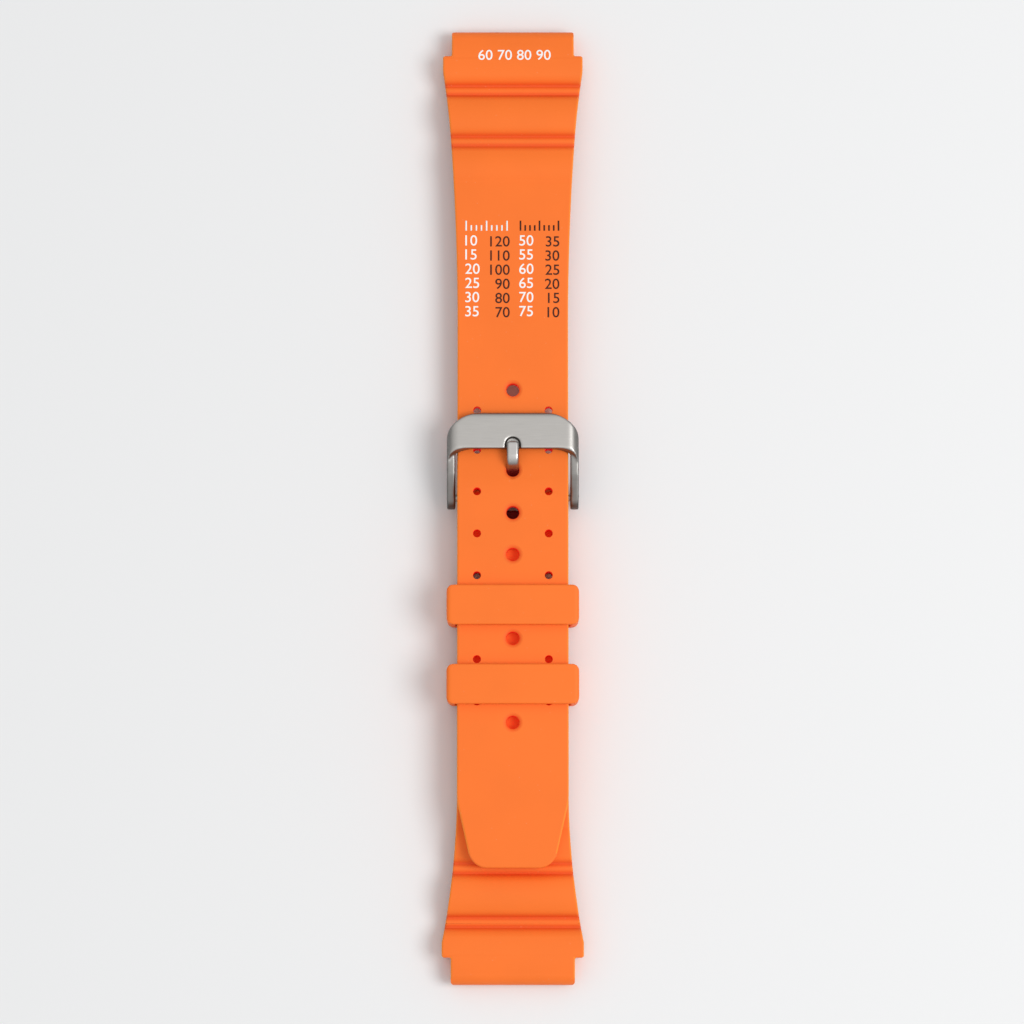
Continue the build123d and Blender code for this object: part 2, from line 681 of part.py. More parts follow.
# Every turn is alike, so the gap is measured from one point to the points about one turn further on
nearby_turns = [coil_point(1 + step / GAP_STEPS) for step in range(-GAP_STEPS // 2, GAP_STEPS // 2 + 1)]
least_gap = min((point - coil_point(0)).length for point in nearby_turns) - 2 * SPRING_WIRE_RADIUS
print("Least gap between the spring's turns, mm:", round(least_gap, 3))

# The tongue: an eye on the barrel, then a crank up through the strap's hole and over to the bar
tongue_eye_radius = knuckle_bore_radius + TONGUE_EYE_WALL
tongue_hole = strap_top(0, hole_stations[TONGUE_HOLE_INDEX])
tongue_low_z = bar_z - tongue_eye_radius + TONGUE_THICKNESS / 2
tongue_top_height = BAR_THICKNESS - RECESS_DEPTH + TONGUE_SEAT_GAP + TONGUE_THICKNESS / 2
hole_lean = tongue_hole.z_dir
crank_y = tongue_hole.origin.Y + TONGUE_HOLE_OFFSET * hole_lean.Z
crank_z = tongue_hole.origin.Z - TONGUE_HOLE_OFFSET * hole_lean.Y
bar_start = bar_point(0, tongue_top_height)
bar_slope = math.tan(bar_angle)
hole_slope = hole_lean.Y / hole_lean.Z
crank_top_z = (bar_start[1] + bar_slope * (bar_start[0] - crank_y + hole_slope * crank_z)) / (
    1 + bar_slope * hole_slope
)

with BuildPart() as buckle_tongue:
    with BuildSketch(Plane.YZ):
        with Locations((bar_y, bar_z)):
            Circle(tongue_eye_radius)
    extrude(amount=TONGUE_WIDTH / 2, both=True)
    with BuildLine(Plane.YZ) as tongue_route:
        FilletPolyline(
            (bar_y, tongue_low_z),
            (crank_y + hole_slope * (tongue_low_z - crank_z), tongue_low_z),
            (crank_y + hole_slope * (crank_top_z - crank_z), crank_top_z),
            bar_point(TONGUE_TIP_OVERLAP, tongue_top_height),
            radius=[TONGUE_LOWER_BEND, TONGUE_UPPER_BEND],
        )
    route = tongue_route.wire()
    with BuildSketch(Plane(origin=route @ 0, x_dir=(1, 0, 0), z_dir=route % 0)):
        RectangleRounded(TONGUE_WIDTH, TONGUE_THICKNESS, TONGUE_ROUND)
    sweep()
    with BuildSketch(Plane.YZ):
        with Locations((bar_y, bar_z)):
            Circle(knuckle_bore_radius)
    extrude(amount=TONGUE_WIDTH, both=True, mode=Mode.SUBTRACT)
    fillet(buckle_tongue.faces().sort_by(Axis.Y)[-1].edges(), TONGUE_TIP_ROUND)
buckle_tongue.part.label = "buckle_tongue"
export_step(buckle_tongue.part, "parts/buckle_tongue.step")
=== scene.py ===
# The looks of an orange rubber dive strap, buckled and lying flat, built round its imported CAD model.
# Sizes are in millimetres, and each piece is scaled to metres once, when its mesh is finished.

import math

import bmesh
import bpy
from mathutils import Matrix, Vector
from mathutils.bvhtree import BVHTree


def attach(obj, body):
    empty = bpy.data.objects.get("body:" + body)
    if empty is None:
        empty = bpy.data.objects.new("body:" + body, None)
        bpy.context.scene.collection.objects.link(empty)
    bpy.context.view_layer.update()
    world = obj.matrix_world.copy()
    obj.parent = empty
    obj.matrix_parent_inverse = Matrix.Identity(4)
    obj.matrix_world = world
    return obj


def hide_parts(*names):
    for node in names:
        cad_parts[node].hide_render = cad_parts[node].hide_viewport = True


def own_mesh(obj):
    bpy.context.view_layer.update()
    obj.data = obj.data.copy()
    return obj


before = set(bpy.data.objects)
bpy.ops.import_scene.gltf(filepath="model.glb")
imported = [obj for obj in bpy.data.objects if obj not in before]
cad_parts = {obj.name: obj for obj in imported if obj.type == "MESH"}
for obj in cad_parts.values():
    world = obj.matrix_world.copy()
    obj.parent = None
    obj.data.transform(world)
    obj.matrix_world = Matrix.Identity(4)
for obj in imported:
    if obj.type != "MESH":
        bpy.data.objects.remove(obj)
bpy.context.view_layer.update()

# ---------------------------------------------------------------- the short piece
# The half of the strap that carries the buckle. It is moulded in one go from soft orange rubber: a waved lug
# end with a bore for the watch's pin, a plain body, and a round knuckle slotted for the tongue.

LUG_WIDTH = 20.0
STRAP_WIDTH = 18.0
SHOULDER_WIDTH = 22.9
CLOSED_LENGTH = 156.0
SHORT_BASE = 1.85
SHORT_THICKNESS = 3.0
BAR_Y = 0.84
BAR_Z = 3.35
END_RADIUS = 2.1
END_CURVE = 180.0
LUG_BORE_RADIUS = 1.0
TAB_LENGTH = 4.4
SHOULDER_LENGTH = 2.4
SHORT_TAPER_LENGTH = 31.9
WAVE_START = 9.25
WAVE_PITCH = 8.55
RIB_WIDTH = 1.6
WAVE_END = 25.05
FIRST_CREST = 4.25
SECOND_CREST = 3.95
HUMP_SHOULDER = 1.3
HUMP_EDGE_RISE, HUMP_BEND_RISE, HUMP_BEND_PLACE = 0.78, 0.5, 0.42
SHORT_THIRD_CREST = 3.15
SHORT_WAVE_END_HEIGHT = 2.85
CREASE_HEIGHT = 2.2
CREASES = (WAVE_START, WAVE_START + RIB_WIDTH, WAVE_START + WAVE_PITCH, WAVE_START + WAVE_PITCH + RIB_WIDTH)
CREASE_REACH, CREASE_PASSES = 0.3, 6
CREASE_TINT_DEPTH = 0.5
RIB_RISE = 0.4
CREASE_SPREAD = 0.5
RELIEF_DEPTH = 0.5
RELIEF_MARGIN = 0.7
CROWN_STEPS, SHOULDER_STEPS, FLAT_STEPS = 32, 12, 8
THIRD_WAVE_STEPS, HOLLOW_STEPS = 40, 16
SLOT_WIDTH = 2.45
SLOT_START, SLOT_END = -1.16, 2.84
POCKET_START, POCKET_FLOOR = -3.2, 2.5
KNUCKLE_BORE_RADIUS = 0.8
SIDE_HOLE_RADIUS = 0.63
SIDE_HOLE_SPACING = 11.6
SHORT_HOLE_Y = -12.095
CUT_REACH = 20
BELOW_STRAP, ABOVE_STRAP = -1, 10
KNUCKLE_CORNER, SHOULDER_CORNER, LUG_CORNER = 0.8, 0.4, 0.5
RUBBER_EDGE, RIM_EDGE = 0.32, 0.08
SHARP_ANGLE = math.radians(32)
BORE_RIM_REACH, KNUCKLE_RIM_REACH, NOSE_REACH = 1.5, 1.0, 1.9
EDGE_HIGHLIGHT_START, EDGE_HIGHLIGHT_LEAN = 7.0, 0.2
HOLE_WALL_LEAN, HOLE_TINT_DEPTH = 0.75, 4
SLOT_SHADE_MARGIN = 0.05
RUBBER_ORANGE = (0.975, 0.19, 0.024, 1.0)
# Painted highlight: a lighter, yellower orange for the rounded edges at the strap's sides.
RUBBER_EDGE_HIGHLIGHT_ORANGE = (1.0, 0.265, 0.024, 1.0)
# Painted shade: a darker, redder orange for the creases and the rings round the sinks.
RUBBER_CREASE_SHADE_ORANGE = (0.84, 0.1, 0.014, 1.0)
# Painted shade and glow: a deeper red, with a faint red emission, for the hole walls.
RUBBER_HOLE_SHADE_RED = (0.86, 0.06, 0.018, 1.0)
# Painted shade: a very dark red for the slot and the pocket.
RUBBER_SLOT_SHADE_RED = (0.3, 0.012, 0.01, 1.0)
# Painted glow for the hole walls.
RUBBER_HOLE_PAINTED_GLOW = (0.13, 0.0, 0.002, 1.0)
DUST_COLOUR = (0.9, 0.55, 0.35, 1)
GRAIN_HEIGHT, RUBBER_GRAIN = 0.00001, 0.5


# Shapes are drawn on a sheet, as (along, up): a line or an arc leaves the pen and returns its new end.
def draw_line(sheet, pen, end):
    new = bmesh.ops.extrude_vert_indiv(sheet, verts=[pen])["verts"][0]
    new.co = (*end, 0)
    return new


def draw_path(sheet, pen, corners):
    for corner in corners:
        pen = draw_line(sheet, pen, corner)
    return pen


def turn_between(centre, first, last, through=None):
    start = math.atan2(first[1] - centre[1], first[0] - centre[0])
    turn = (math.atan2(last[1] - centre[1], last[0] - centre[0]) - start) % math.tau
    if through is not None:
        passed = (math.atan2(through[1] - centre[1], through[0] - centre[0]) - start) % math.tau
        return turn if passed < turn else turn - math.tau
    return turn if turn < math.pi else turn - math.tau


def spin_pen(sheet, pen, centre, turn, steps):
    spun = bmesh.ops.spin(
        sheet, geom=[pen], cent=(*centre, 0), axis=(0, 0, 1), angle=turn, steps=steps, use_duplicate=False
    )
    return spun["geom_last"][0]


def draw_arc(sheet, pen, middle, end, steps):
    first, middle, end = pen.co.xy, Vector(middle), Vector(end)
    across, onward = middle - first, end - first
    twice_area = 2 * (across.x * onward.y - across.y * onward.x)
    shift_x = (onward.y * across.length_squared - across.y * onward.length_squared) / twice_area
    shift_y = (across.x * onward.length_squared - onward.x * across.length_squared) / twice_area
    centre = first + Vector((shift_x, shift_y))
    return spin_pen(sheet, pen, centre, turn_between(centre, first, end, middle), steps)


# An arc that leaves the pen in a given direction; returns the new pen and the direction it arrives in.
def draw_tangent_arc(sheet, pen, direction, end, steps):
    first, direction, end = pen.co.xy, Vector(direction).normalized(), Vector(end)
    chord = end - first
    sideways = direction.orthogonal()
    centre = first + sideways * chord.length_squared / (2 * chord.dot(sideways))
    turn = turn_between(centre, first, end)
    direction.rotate(Matrix.Rotation(turn, 2))
    return spin_pen(sheet, pen, centre, turn, steps), direction


# A lug end is drawn by distance from its tip and height above its curved underside.
def lug_curve(base):
    tilt = math.acos(1 - base / (END_CURVE + END_RADIUS))
    return tilt, CLOSED_LENGTH / 2 - END_RADIUS - (END_CURVE + END_RADIUS) * math.sin(tilt)


def lug_point(side, base, distance, height):
    tilt, start = lug_curve(base)
    angle = tilt - (distance - END_RADIUS) / END_CURVE
    if angle < 0:
        return side * (start + angle * END_CURVE), base + height
    along = start + (END_CURVE + height) * math.sin(angle)
    return side * along, base - END_CURVE + (END_CURVE + height) * math.cos(angle)


# A hump: a rounded shoulder up from one crease, a nearly flat crown and a shoulder down to the next.
def crown(start, end, crest):
    rise = crest - CREASE_HEIGHT
    edge_height = CREASE_HEIGHT + HUMP_EDGE_RISE * rise
    bend_height = CREASE_HEIGHT + HUMP_BEND_RISE * rise
    bend = HUMP_BEND_PLACE * HUMP_SHOULDER
    return [
        ((start + bend, bend_height), (start + HUMP_SHOULDER, edge_height), SHOULDER_STEPS),
        (((start + end) / 2, crest), (end - HUMP_SHOULDER, edge_height), CROWN_STEPS),
        ((end - bend, bend_height), (end, CREASE_HEIGHT), SHOULDER_STEPS),
    ]


def draw_lug_end(sheet, side, base, third_crest, end_height, thickness):
    tilt = lug_curve(base)[0]
    curve_length = END_RADIUS + tilt * END_CURVE
    first_end, second_start, second_end, third_start = CREASES
    rib_top = CREASE_HEIGHT + RIB_RISE
    bore_y, bore_z = lug_point(side, base, END_RADIUS, END_RADIUS)
    nose = (bore_y + side * END_RADIUS * math.cos(tilt), bore_z - END_RADIUS * math.sin(tilt))
    start = sheet.verts.new((*lug_point(side, base, END_RADIUS, 0), 0))
    pen = draw_arc(sheet, start, nose, lug_point(side, base, END_RADIUS, 2 * END_RADIUS), CROWN_STEPS)
    top = [
        *crown(END_RADIUS, first_end, FIRST_CREST)[1:],
        ((first_end + RIB_WIDTH / 2, rib_top), (second_start, CREASE_HEIGHT), SHOULDER_STEPS),
        *crown(second_start, second_end, SECOND_CREST),
        ((second_end + RIB_WIDTH / 2, rib_top), (third_start, CREASE_HEIGHT), SHOULDER_STEPS),
        *crown(third_start, WAVE_END, third_crest)[:1],
        (((third_start + WAVE_END) / 2, third_crest), (WAVE_END, end_height), THIRD_WAVE_STEPS),
        (((WAVE_END + curve_length) / 2, (end_height + thickness) / 2), (curve_length, thickness), FLAT_STEPS),
    ]
    for middle, end, steps in top:
        pen = draw_arc(sheet, pen, lug_point(side, base, *middle), lug_point(side, base, *end), steps)
    hollows = [(second_start, second_end), (third_start, WAVE_END)]
    under, reached = start, END_RADIUS
    for first, last in hollows:
        first, last = first + RELIEF_MARGIN, last - RELIEF_MARGIN
        flat_middle = lug_point(side, base, (reached + first) / 2, 0)
        under = draw_arc(sheet, under, flat_middle, lug_point(side, base, first, 0), FLAT_STEPS // 2)
        hollow_middle = lug_point(side, base, (first + last) / 2, RELIEF_DEPTH)
        under = draw_arc(sheet, under, hollow_middle, lug_point(side, base, last, 0), HOLLOW_STEPS)
        reached = last
    flat_middle = lug_point(side, base, (reached + curve_length) / 2, 0)
    under = draw_arc(sheet, under, flat_middle, lug_point(side, base, curve_length, 0), FLAT_STEPS)
    return pen, under


# The creases are softened by smoothing the few points about them, as a mould with rounded ridges leaves them.
def soften_creases(sheet, side, base):
    for distance in CREASES:
        crease = Vector((*lug_point(side, base, distance, CREASE_HEIGHT), 0))
        near = [vert for vert in sheet.verts if (vert.co - crease).length < CREASE_REACH]
        for _ in range(CREASE_PASSES):
            bmesh.ops.smooth_vert(sheet, verts=near, factor=0.5, use_axis_x=True, use_axis_y=True)


def round_corner(sheet, corner, radius):
    at = min(sheet.verts, key=lambda vert: (vert.co.xy - Vector(corner)).length)
    one, other = [(edge.other_vert(at).co - at.co).normalized() for edge in at.link_edges]
    turn = math.pi - one.angle(other)
    bmesh.ops.bevel(
        sheet, geom=[at], offset=radius * math.tan(turn / 2), segments=8, profile=0.5, affect="VERTICES",
        clamp_overlap=False, material=-1,
    )


# A drawn sheet becomes a thick slab; a side view is then stood up so that its sheet lies across X.
def make_slab(sheet, name, low, high, side_view=False):
    bmesh.ops.translate(sheet, vec=(0, 0, low), verts=sheet.verts)
    raised = bmesh.ops.extrude_face_region(sheet, geom=sheet.faces[:])["geom"]
    upper = [item for item in raised if isinstance(item, bmesh.types.BMVert)]
    bmesh.ops.translate(sheet, vec=(0, 0, high - low), verts=upper)
    if side_view:
        sheet.transform(Matrix(((0, 0, 1, 0), (1, 0, 0, 0), (0, 1, 0, 0), (0, 0, 0, 1))))
    bmesh.ops.recalc_face_normals(sheet, faces=sheet.faces)
    return put_in_scene(sheet, name)


def put_in_scene(shape, name):
    mesh = bpy.data.meshes.new(name)
    shape.to_mesh(mesh)
    shape.free()
    piece = bpy.data.objects.new(name, mesh)
    bpy.context.scene.collection.objects.link(piece)
    return piece


def fill_outline(sheet):
    bmesh.ops.remove_doubles(sheet, verts=sheet.verts, dist=0.001)
    bmesh.ops.contextual_create(sheet, geom=sheet.edges[:])


def draw_polygon(corners):
    sheet = bmesh.new()
    draw_path(sheet, sheet.verts.new((*corners[0], 0)), (*corners[1:], corners[0]))
    fill_outline(sheet)
    return sheet


# The drawn half is mirrored to the left and the whole outline filled.
def half_outline(sheet):
    bmesh.ops.mirror(
        sheet, geom=sheet.verts[:] + sheet.edges[:], matrix=Matrix.Identity(4), merge_dist=0.001, axis="X"
    )
    fill_outline(sheet)


def apply_modifiers(piece):
    bpy.context.view_layer.update()
    shaped = bpy.data.meshes.new_from_object(piece.evaluated_get(bpy.context.evaluated_depsgraph_get()))
    piece.modifiers.clear()
    piece.data = shaped


# One piece is cut or trimmed by another, which is used up.
def carve(piece, tool, operation):
    step = piece.modifiers.new("carve", "BOOLEAN")
    step.operation = operation
    step.solver = "EXACT"
    step.object = tool
    apply_modifiers(piece)
    bpy.data.objects.remove(tool)


def add_cone(shape, place, low_radius, high_radius, low, high):
    middle = place @ Matrix.Translation((0, 0, (low + high) / 2))
    bmesh.ops.create_cone(
        shape, cap_ends=True, segments=48, radius1=low_radius, radius2=high_radius, depth=high - low, matrix=middle
    )


def add_cylinder(shape, place, radius, low, high):
    add_cone(shape, place, radius, radius, low, high)


# The edges at a lug end's bore and at its nose's two corners, as places with their reach.
def lug_rims(bore, end_y):
    rims = []
    for x in (-LUG_WIDTH / 2, LUG_WIDTH / 2):
        rims += [(Vector((x, *bore[1:])), BORE_RIM_REACH), (Vector((x, end_y, bore[2])), NOSE_REACH)]
    return rims


# Sharp edges are rounded as a mould leaves them: a small radius at the rims, a larger one elsewhere. Near the
# strap's sides the rounded edges take the edge material, a lighter, yellower orange: a painted highlight.
def round_edges(piece, rims):
    shape = bmesh.new()
    shape.from_mesh(piece.data)
    bmesh.ops.remove_doubles(shape, verts=shape.verts, dist=0.02)
    bmesh.ops.dissolve_degenerate(shape, dist=0.0005, edges=shape.edges)
    sharp = [edge for edge in shape.edges if edge.is_manifold and edge.calc_face_angle() > SHARP_ANGLE]
    rim_edges, other_edges = [], []
    for edge in sharp:
        at_rim = any(all((vert.co - spot).length < reach for vert in edge.verts) for spot, reach in rims)
        (rim_edges if at_rim else other_edges).append(edge)
    for edges, radius in ((rim_edges, RIM_EDGE), (other_edges, RUBBER_EDGE)):
        made = bmesh.ops.bevel(
            shape, geom=[edge for edge in edges if edge.is_valid], offset=radius, segments=4, profile=0.5,
            affect="EDGES", clamp_overlap=False, material=-1,
        )
        # Painted highlight: side-facing rounded faces near the strap's sides take the lighter edge material.
        for face in made["faces"]:
            if abs(face.calc_center_median().x) > EDGE_HIGHLIGHT_START and abs(face.normal.x) > EDGE_HIGHLIGHT_LEAN:
                face.material_index = 1
    bmesh.ops.remove_doubles(shape, verts=shape.verts, dist=0.0005)
    shape.to_mesh(piece.data)
    shape.free()


# Painted shade: the rubber is made a deeper red in its creases and round its sinks, by a share per point, and its
# hole walls take a red material with a painted glow, standing in for light that comes redder out of deep places. A
# hole's faces are those with their centre near its axis, so the tail's flat underside, one face that lies hidden
# on the short piece, is taken with them.
def paint_shade_in_deep_places(piece, side, base, holes=(), sinks=()):
    creases = [lug_point(side, base, distance, CREASE_HEIGHT) for distance in CREASES]
    painted_shade = piece.data.attributes.new("painted_shade", "FLOAT", "POINT")
    for vert, share in zip(piece.data.vertices, painted_shade.data):
        offsets = [(vert.co.y - y) / CREASE_SPREAD for y, z in creases if vert.co.z > z - CREASE_TINT_DEPTH]
        share.value = min(1, sum(math.exp(-offset ** 2) for offset in offsets))
        for place, reach, depth in sinks:
            if (vert.co - place.translation).length < reach:
                share.value = depth
    # Painted shade and glow: the walls of the holes take the hole material.
    for place, radius in holes:
        back = place.inverted()
        for face in piece.data.polygons:
            spot = back @ face.center
            wall = (back.to_3x3() @ face.normal).z < HOLE_WALL_LEAN
            if wall and spot.xy.length < radius and abs(spot.z) < HOLE_TINT_DEPTH:
                face.material_index = 2


# The finished piece goes to metres, gets smooth shading and rides on its CAD body.
def finish_piece(piece, materials, body, slot, *nodes):
    piece.data.transform(Matrix.Scale(0.001, 4))
    for material in materials:
        piece.data.materials.append(material)
    piece.data.shade_smooth()
    even = piece.modifiers.new("even shading", "WEIGHTED_NORMAL")
    even.keep_sharp = False
    apply_modifiers(piece)
    piece.data.name = piece.name
    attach(piece, body)
    if nodes:
        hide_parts(*nodes)


# A node with its inputs: another node's output is linked, and anything else is set as the value.
def add_node(tree, kind, inputs, **settings):
    node = tree.nodes.new("ShaderNode" + kind)
    for name, value in settings.items():
        setattr(node, name, value)
    for name, value in inputs.items():
        if isinstance(value, bpy.types.NodeSocket):
            tree.links.new(value, node.inputs[name])
        else:
            node.inputs[name].default_value = value
    return node


# A skin is a group that gives colour, roughness and height; its own inputs are named with their kinds.
def start_skin(name, inputs):
    skin = bpy.data.node_groups.new(name, "ShaderNodeTree")
    for socket, kind in inputs.items():
        skin.interface.new_socket(socket, in_out="INPUT", socket_type="NodeSocket" + kind)
    for socket, kind in (("Colour", "Color"), ("Roughness", "Float"), ("Height", "Float")):
        skin.interface.new_socket(socket, in_out="OUTPUT", socket_type="NodeSocket" + kind)
    given = skin.nodes.new("NodeGroupInput")
    place = add_node(skin, "TexCoord", {})
    return skin, given.outputs, place.outputs


def finish_skin(skin, colour, roughness, height):
    result = skin.nodes.new("NodeGroupOutput")
    for socket, source in (("Colour", colour), ("Roughness", roughness), ("Height", height)):
        skin.links.new(source, result.inputs[socket])
    return skin


# Matt moulded rubber: a fine satin grain, faint clouds in the colour and a few specks of dust, with painted shade:
# a deeper colour mixed in by a share that each point of the mesh carries.
def make_rubber_skin():
    inputs = {"Colour": "Color", "Painted Shade Colour": "Color", "Dust": "Float"}
    skin, given, place = start_skin("moulded rubber", inputs)
    clouds = add_node(skin, "TexNoise", {"Vector": place["Object"], "Scale": 90, "Detail": 3})
    grain = add_node(skin, "TexNoise", {"Vector": place["Object"], "Scale": 9000, "Detail": 2})
    specks = add_node(skin, "TexVoronoi", {"Vector": place["Object"], "Scale": 700})
    painted_shade = add_node(skin, "Attribute", {}, attribute_name="painted_shade")
    colours = {"Factor": painted_shade.outputs["Fac"], "A": given["Colour"], "B": given["Painted Shade Colour"]}
    deepened = add_node(skin, "Mix", colours, data_type="RGBA")
    tones = {"From Min": 0.3, "From Max": 0.7, "To Min": 0.975, "To Max": 1.02}
    tone = add_node(skin, "MapRange", {"Value": clouds.outputs["Fac"], **tones})
    toned = {0: deepened.outputs["Result"], "Scale": tone.outputs["Result"]}
    shaded = add_node(skin, "VectorMath", toned, operation="SCALE")
    speck = {"From Min": 0.035, "From Max": 0.06, "To Min": 1.0, "To Max": 0.0}
    dot = add_node(skin, "MapRange", {"Value": specks.outputs["Distance"], **speck})
    dusty = add_node(skin, "Math", {0: dot.outputs["Result"], 1: given["Dust"]}, operation="MULTIPLY")
    colours = {"Factor": dusty.outputs["Value"], "A": shaded.outputs["Vector"], "B": DUST_COLOUR}
    speckled = add_node(skin, "Mix", colours, data_type="RGBA")
    rough = add_node(skin, "MapRange", {"Value": grain.outputs["Fac"], "To Min": 0.52, "To Max": 0.66})
    return finish_skin(skin, speckled.outputs["Result"], rough.outputs["Result"], grain.outputs["Fac"])


# One shader wears a skin, whose height gives it a fine bump.
def make_finish(name, skin, skin_values, grain, shader_values):
    material = bpy.data.materials.new(name)
    material.use_nodes = True
    tree = material.node_tree
    shader = tree.nodes["Principled BSDF"]
    for socket, value in shader_values.items():
        shader.inputs[socket].default_value = value
    worn = add_node(tree, "Group", {}, node_tree=skin)
    for socket, value in skin_values.items():
        worn.inputs[socket].default_value = value
    bump = add_node(tree, "Bump", {"Height": worn.outputs["Height"], "Distance": GRAIN_HEIGHT, "Strength": grain})
    tree.links.new(worn.outputs["Colour"], shader.inputs["Base Color"])
    tree.links.new(worn.outputs["Roughness"], shader.inputs["Roughness"])
    tree.links.new(bump.outputs["Normal"], shader.inputs["Normal"])
    return material


rubber_skin = make_rubber_skin()


# A rubber may take a deeper colour for painted shade and an emission for a painted glow.
def make_rubber(name, colour, dust, deep=None, glow=(0, 0, 0, 1)):
    skin_values = {"Colour": colour, "Painted Shade Colour": deep or colour, "Dust": dust}
    shader_values = {"Specular IOR Level": 0.25, "Emission Color": glow, "Emission Strength": 1.0}
    return make_finish(name, rubber_skin, skin_values, RUBBER_GRAIN, shader_values)


strap_rubber = [
    make_rubber("orange rubber", RUBBER_ORANGE, dust=0.25, deep=RUBBER_CREASE_SHADE_ORANGE),
    make_rubber("orange rubber edge with painted highlight", RUBBER_EDGE_HIGHLIGHT_ORANGE, dust=0.1, deep=RUBBER_CREASE_SHADE_ORANGE),
    make_rubber("orange rubber in the holes with painted shade and glow", RUBBER_HOLE_SHADE_RED, dust=0.0, glow=RUBBER_HOLE_PAINTED_GLOW),
    make_rubber("orange rubber in the slot with painted shade", RUBBER_SLOT_SHADE_RED, dust=0.0),
]

side = bmesh.new()
top, under = draw_lug_end(side, -1, SHORT_BASE, SHORT_THIRD_CREST, SHORT_WAVE_END_HEIGHT, SHORT_THICKNESS)
knuckle_top = (BAR_Y, SHORT_BASE + SHORT_THICKNESS)
pen = draw_line(side, top, knuckle_top)
pen = draw_arc(side, pen, (BAR_Y + SHORT_THICKNESS / 2, BAR_Z), (BAR_Y, SHORT_BASE), CROWN_STEPS)
draw_line(side, pen, under.co.xy)
fill_outline(side)
soften_creases(side, -1, SHORT_BASE)
short_piece = make_slab(side, "short_piece", -SHOULDER_WIDTH, SHOULDER_WIDTH, side_view=True)

end_y, shoulder_y = -CLOSED_LENGTH / 2, -CLOSED_LENGTH / 2 + TAB_LENGTH
knuckle_y = BAR_Y + SHORT_THICKNESS / 2
outline = bmesh.new()
pen = outline.verts.new((0, knuckle_y, 0))
corners = [(STRAP_WIDTH / 2, knuckle_y), (STRAP_WIDTH / 2, end_y + SHORT_TAPER_LENGTH)]
pen = draw_path(outline, pen, corners)
pen, _ = draw_tangent_arc(outline, pen, (0, -1), (SHOULDER_WIDTH / 2, shoulder_y + SHOULDER_LENGTH), CROWN_STEPS)
corners = [(SHOULDER_WIDTH / 2, shoulder_y), (LUG_WIDTH / 2, shoulder_y), (LUG_WIDTH / 2, end_y), (0, end_y)]
draw_path(outline, pen, corners)
half_outline(outline)
for sign in (-1, 1):
    round_corner(outline, (sign * STRAP_WIDTH / 2, knuckle_y), KNUCKLE_CORNER)
    round_corner(outline, (sign * SHOULDER_WIDTH / 2, shoulder_y), SHOULDER_CORNER)
    round_corner(outline, (sign * LUG_WIDTH / 2, end_y), LUG_CORNER)
carve(short_piece, make_slab(outline, "short outline", BELOW_STRAP, ABOVE_STRAP), "INTERSECT")

# The slot goes right through, and behind it a shallow pocket stays open to the top.
slot_low = 5 * BELOW_STRAP
slot_side = draw_polygon([
    (SLOT_END, slot_low), (SLOT_END, ABOVE_STRAP), (POCKET_START, ABOVE_STRAP), (POCKET_START, POCKET_FLOOR),
    (SLOT_START, POCKET_FLOOR), (SLOT_START, slot_low),
])
slot_cut = make_slab(slot_side, "slot cut", -SLOT_WIDTH / 2, SLOT_WIDTH / 2, side_view=True)
carve(short_piece, slot_cut, "DIFFERENCE")

across = Matrix.Rotation(math.pi / 2, 4, "Y")
bar_place = Matrix.Translation((0, BAR_Y, BAR_Z)) @ across
short_bore = (0, *lug_point(-1, SHORT_BASE, END_RADIUS, END_RADIUS))
bores = bmesh.new()
add_cylinder(bores, Matrix.Translation(short_bore) @ across, LUG_BORE_RADIUS, -CUT_REACH, CUT_REACH)
add_cylinder(bores, bar_place, KNUCKLE_BORE_RADIUS, -CUT_REACH, CUT_REACH)
for x in (-SIDE_HOLE_SPACING / 2, SIDE_HOLE_SPACING / 2):
    add_cylinder(bores, Matrix.Translation((x, SHORT_HOLE_Y, 0)), SIDE_HOLE_RADIUS, BELOW_STRAP, ABOVE_STRAP)
carve(short_piece, put_in_scene(bores, "bores"), "DIFFERENCE")
rims = lug_rims(short_bore, end_y)
for x in (-STRAP_WIDTH / 2, -SLOT_WIDTH / 2, SLOT_WIDTH / 2, STRAP_WIDTH / 2):
    rims.append((Vector((x, BAR_Y, BAR_Z)), KNUCKLE_RIM_REACH))
round_edges(short_piece, rims)
paint_shade_in_deep_places(short_piece, -1, SHORT_BASE)
# Painted shade: faces in the slot and the pocket, below the knuckle's top, take the very dark red.
for face in short_piece.data.polygons:
    x, y, z = face.center
    within = abs(x) < SLOT_WIDTH / 2 + SLOT_SHADE_MARGIN and POCKET_START - SLOT_SHADE_MARGIN < y < SLOT_END
    if within and z < knuckle_top[1] - 2 * SLOT_SHADE_MARGIN:
        face.material_index = 3
finish_piece(short_piece, strap_rubber, "straps", "orange_rubber", "short_strap")

# ---------------------------------------------------------------- the spring bar in the knuckle
# A stainless barrel with two sprung end pins and a coil between them. It is pushed into the knuckle's bore and
# carries the buckle, so that only slivers of it show. The barrel and the pins are the CAD solids themselves.

SPRING_STEEL = (0.50, 0.48, 0.46, 1.0)
# Painted shade on the steel: how far a face leans, and the heights in metres, between which it fades in.
FLANK_STEEP, FLANK_LEVEL = 0.6, 0.97
FOOT_LOW, FOOT_TOP = 0.0062, 0.0078


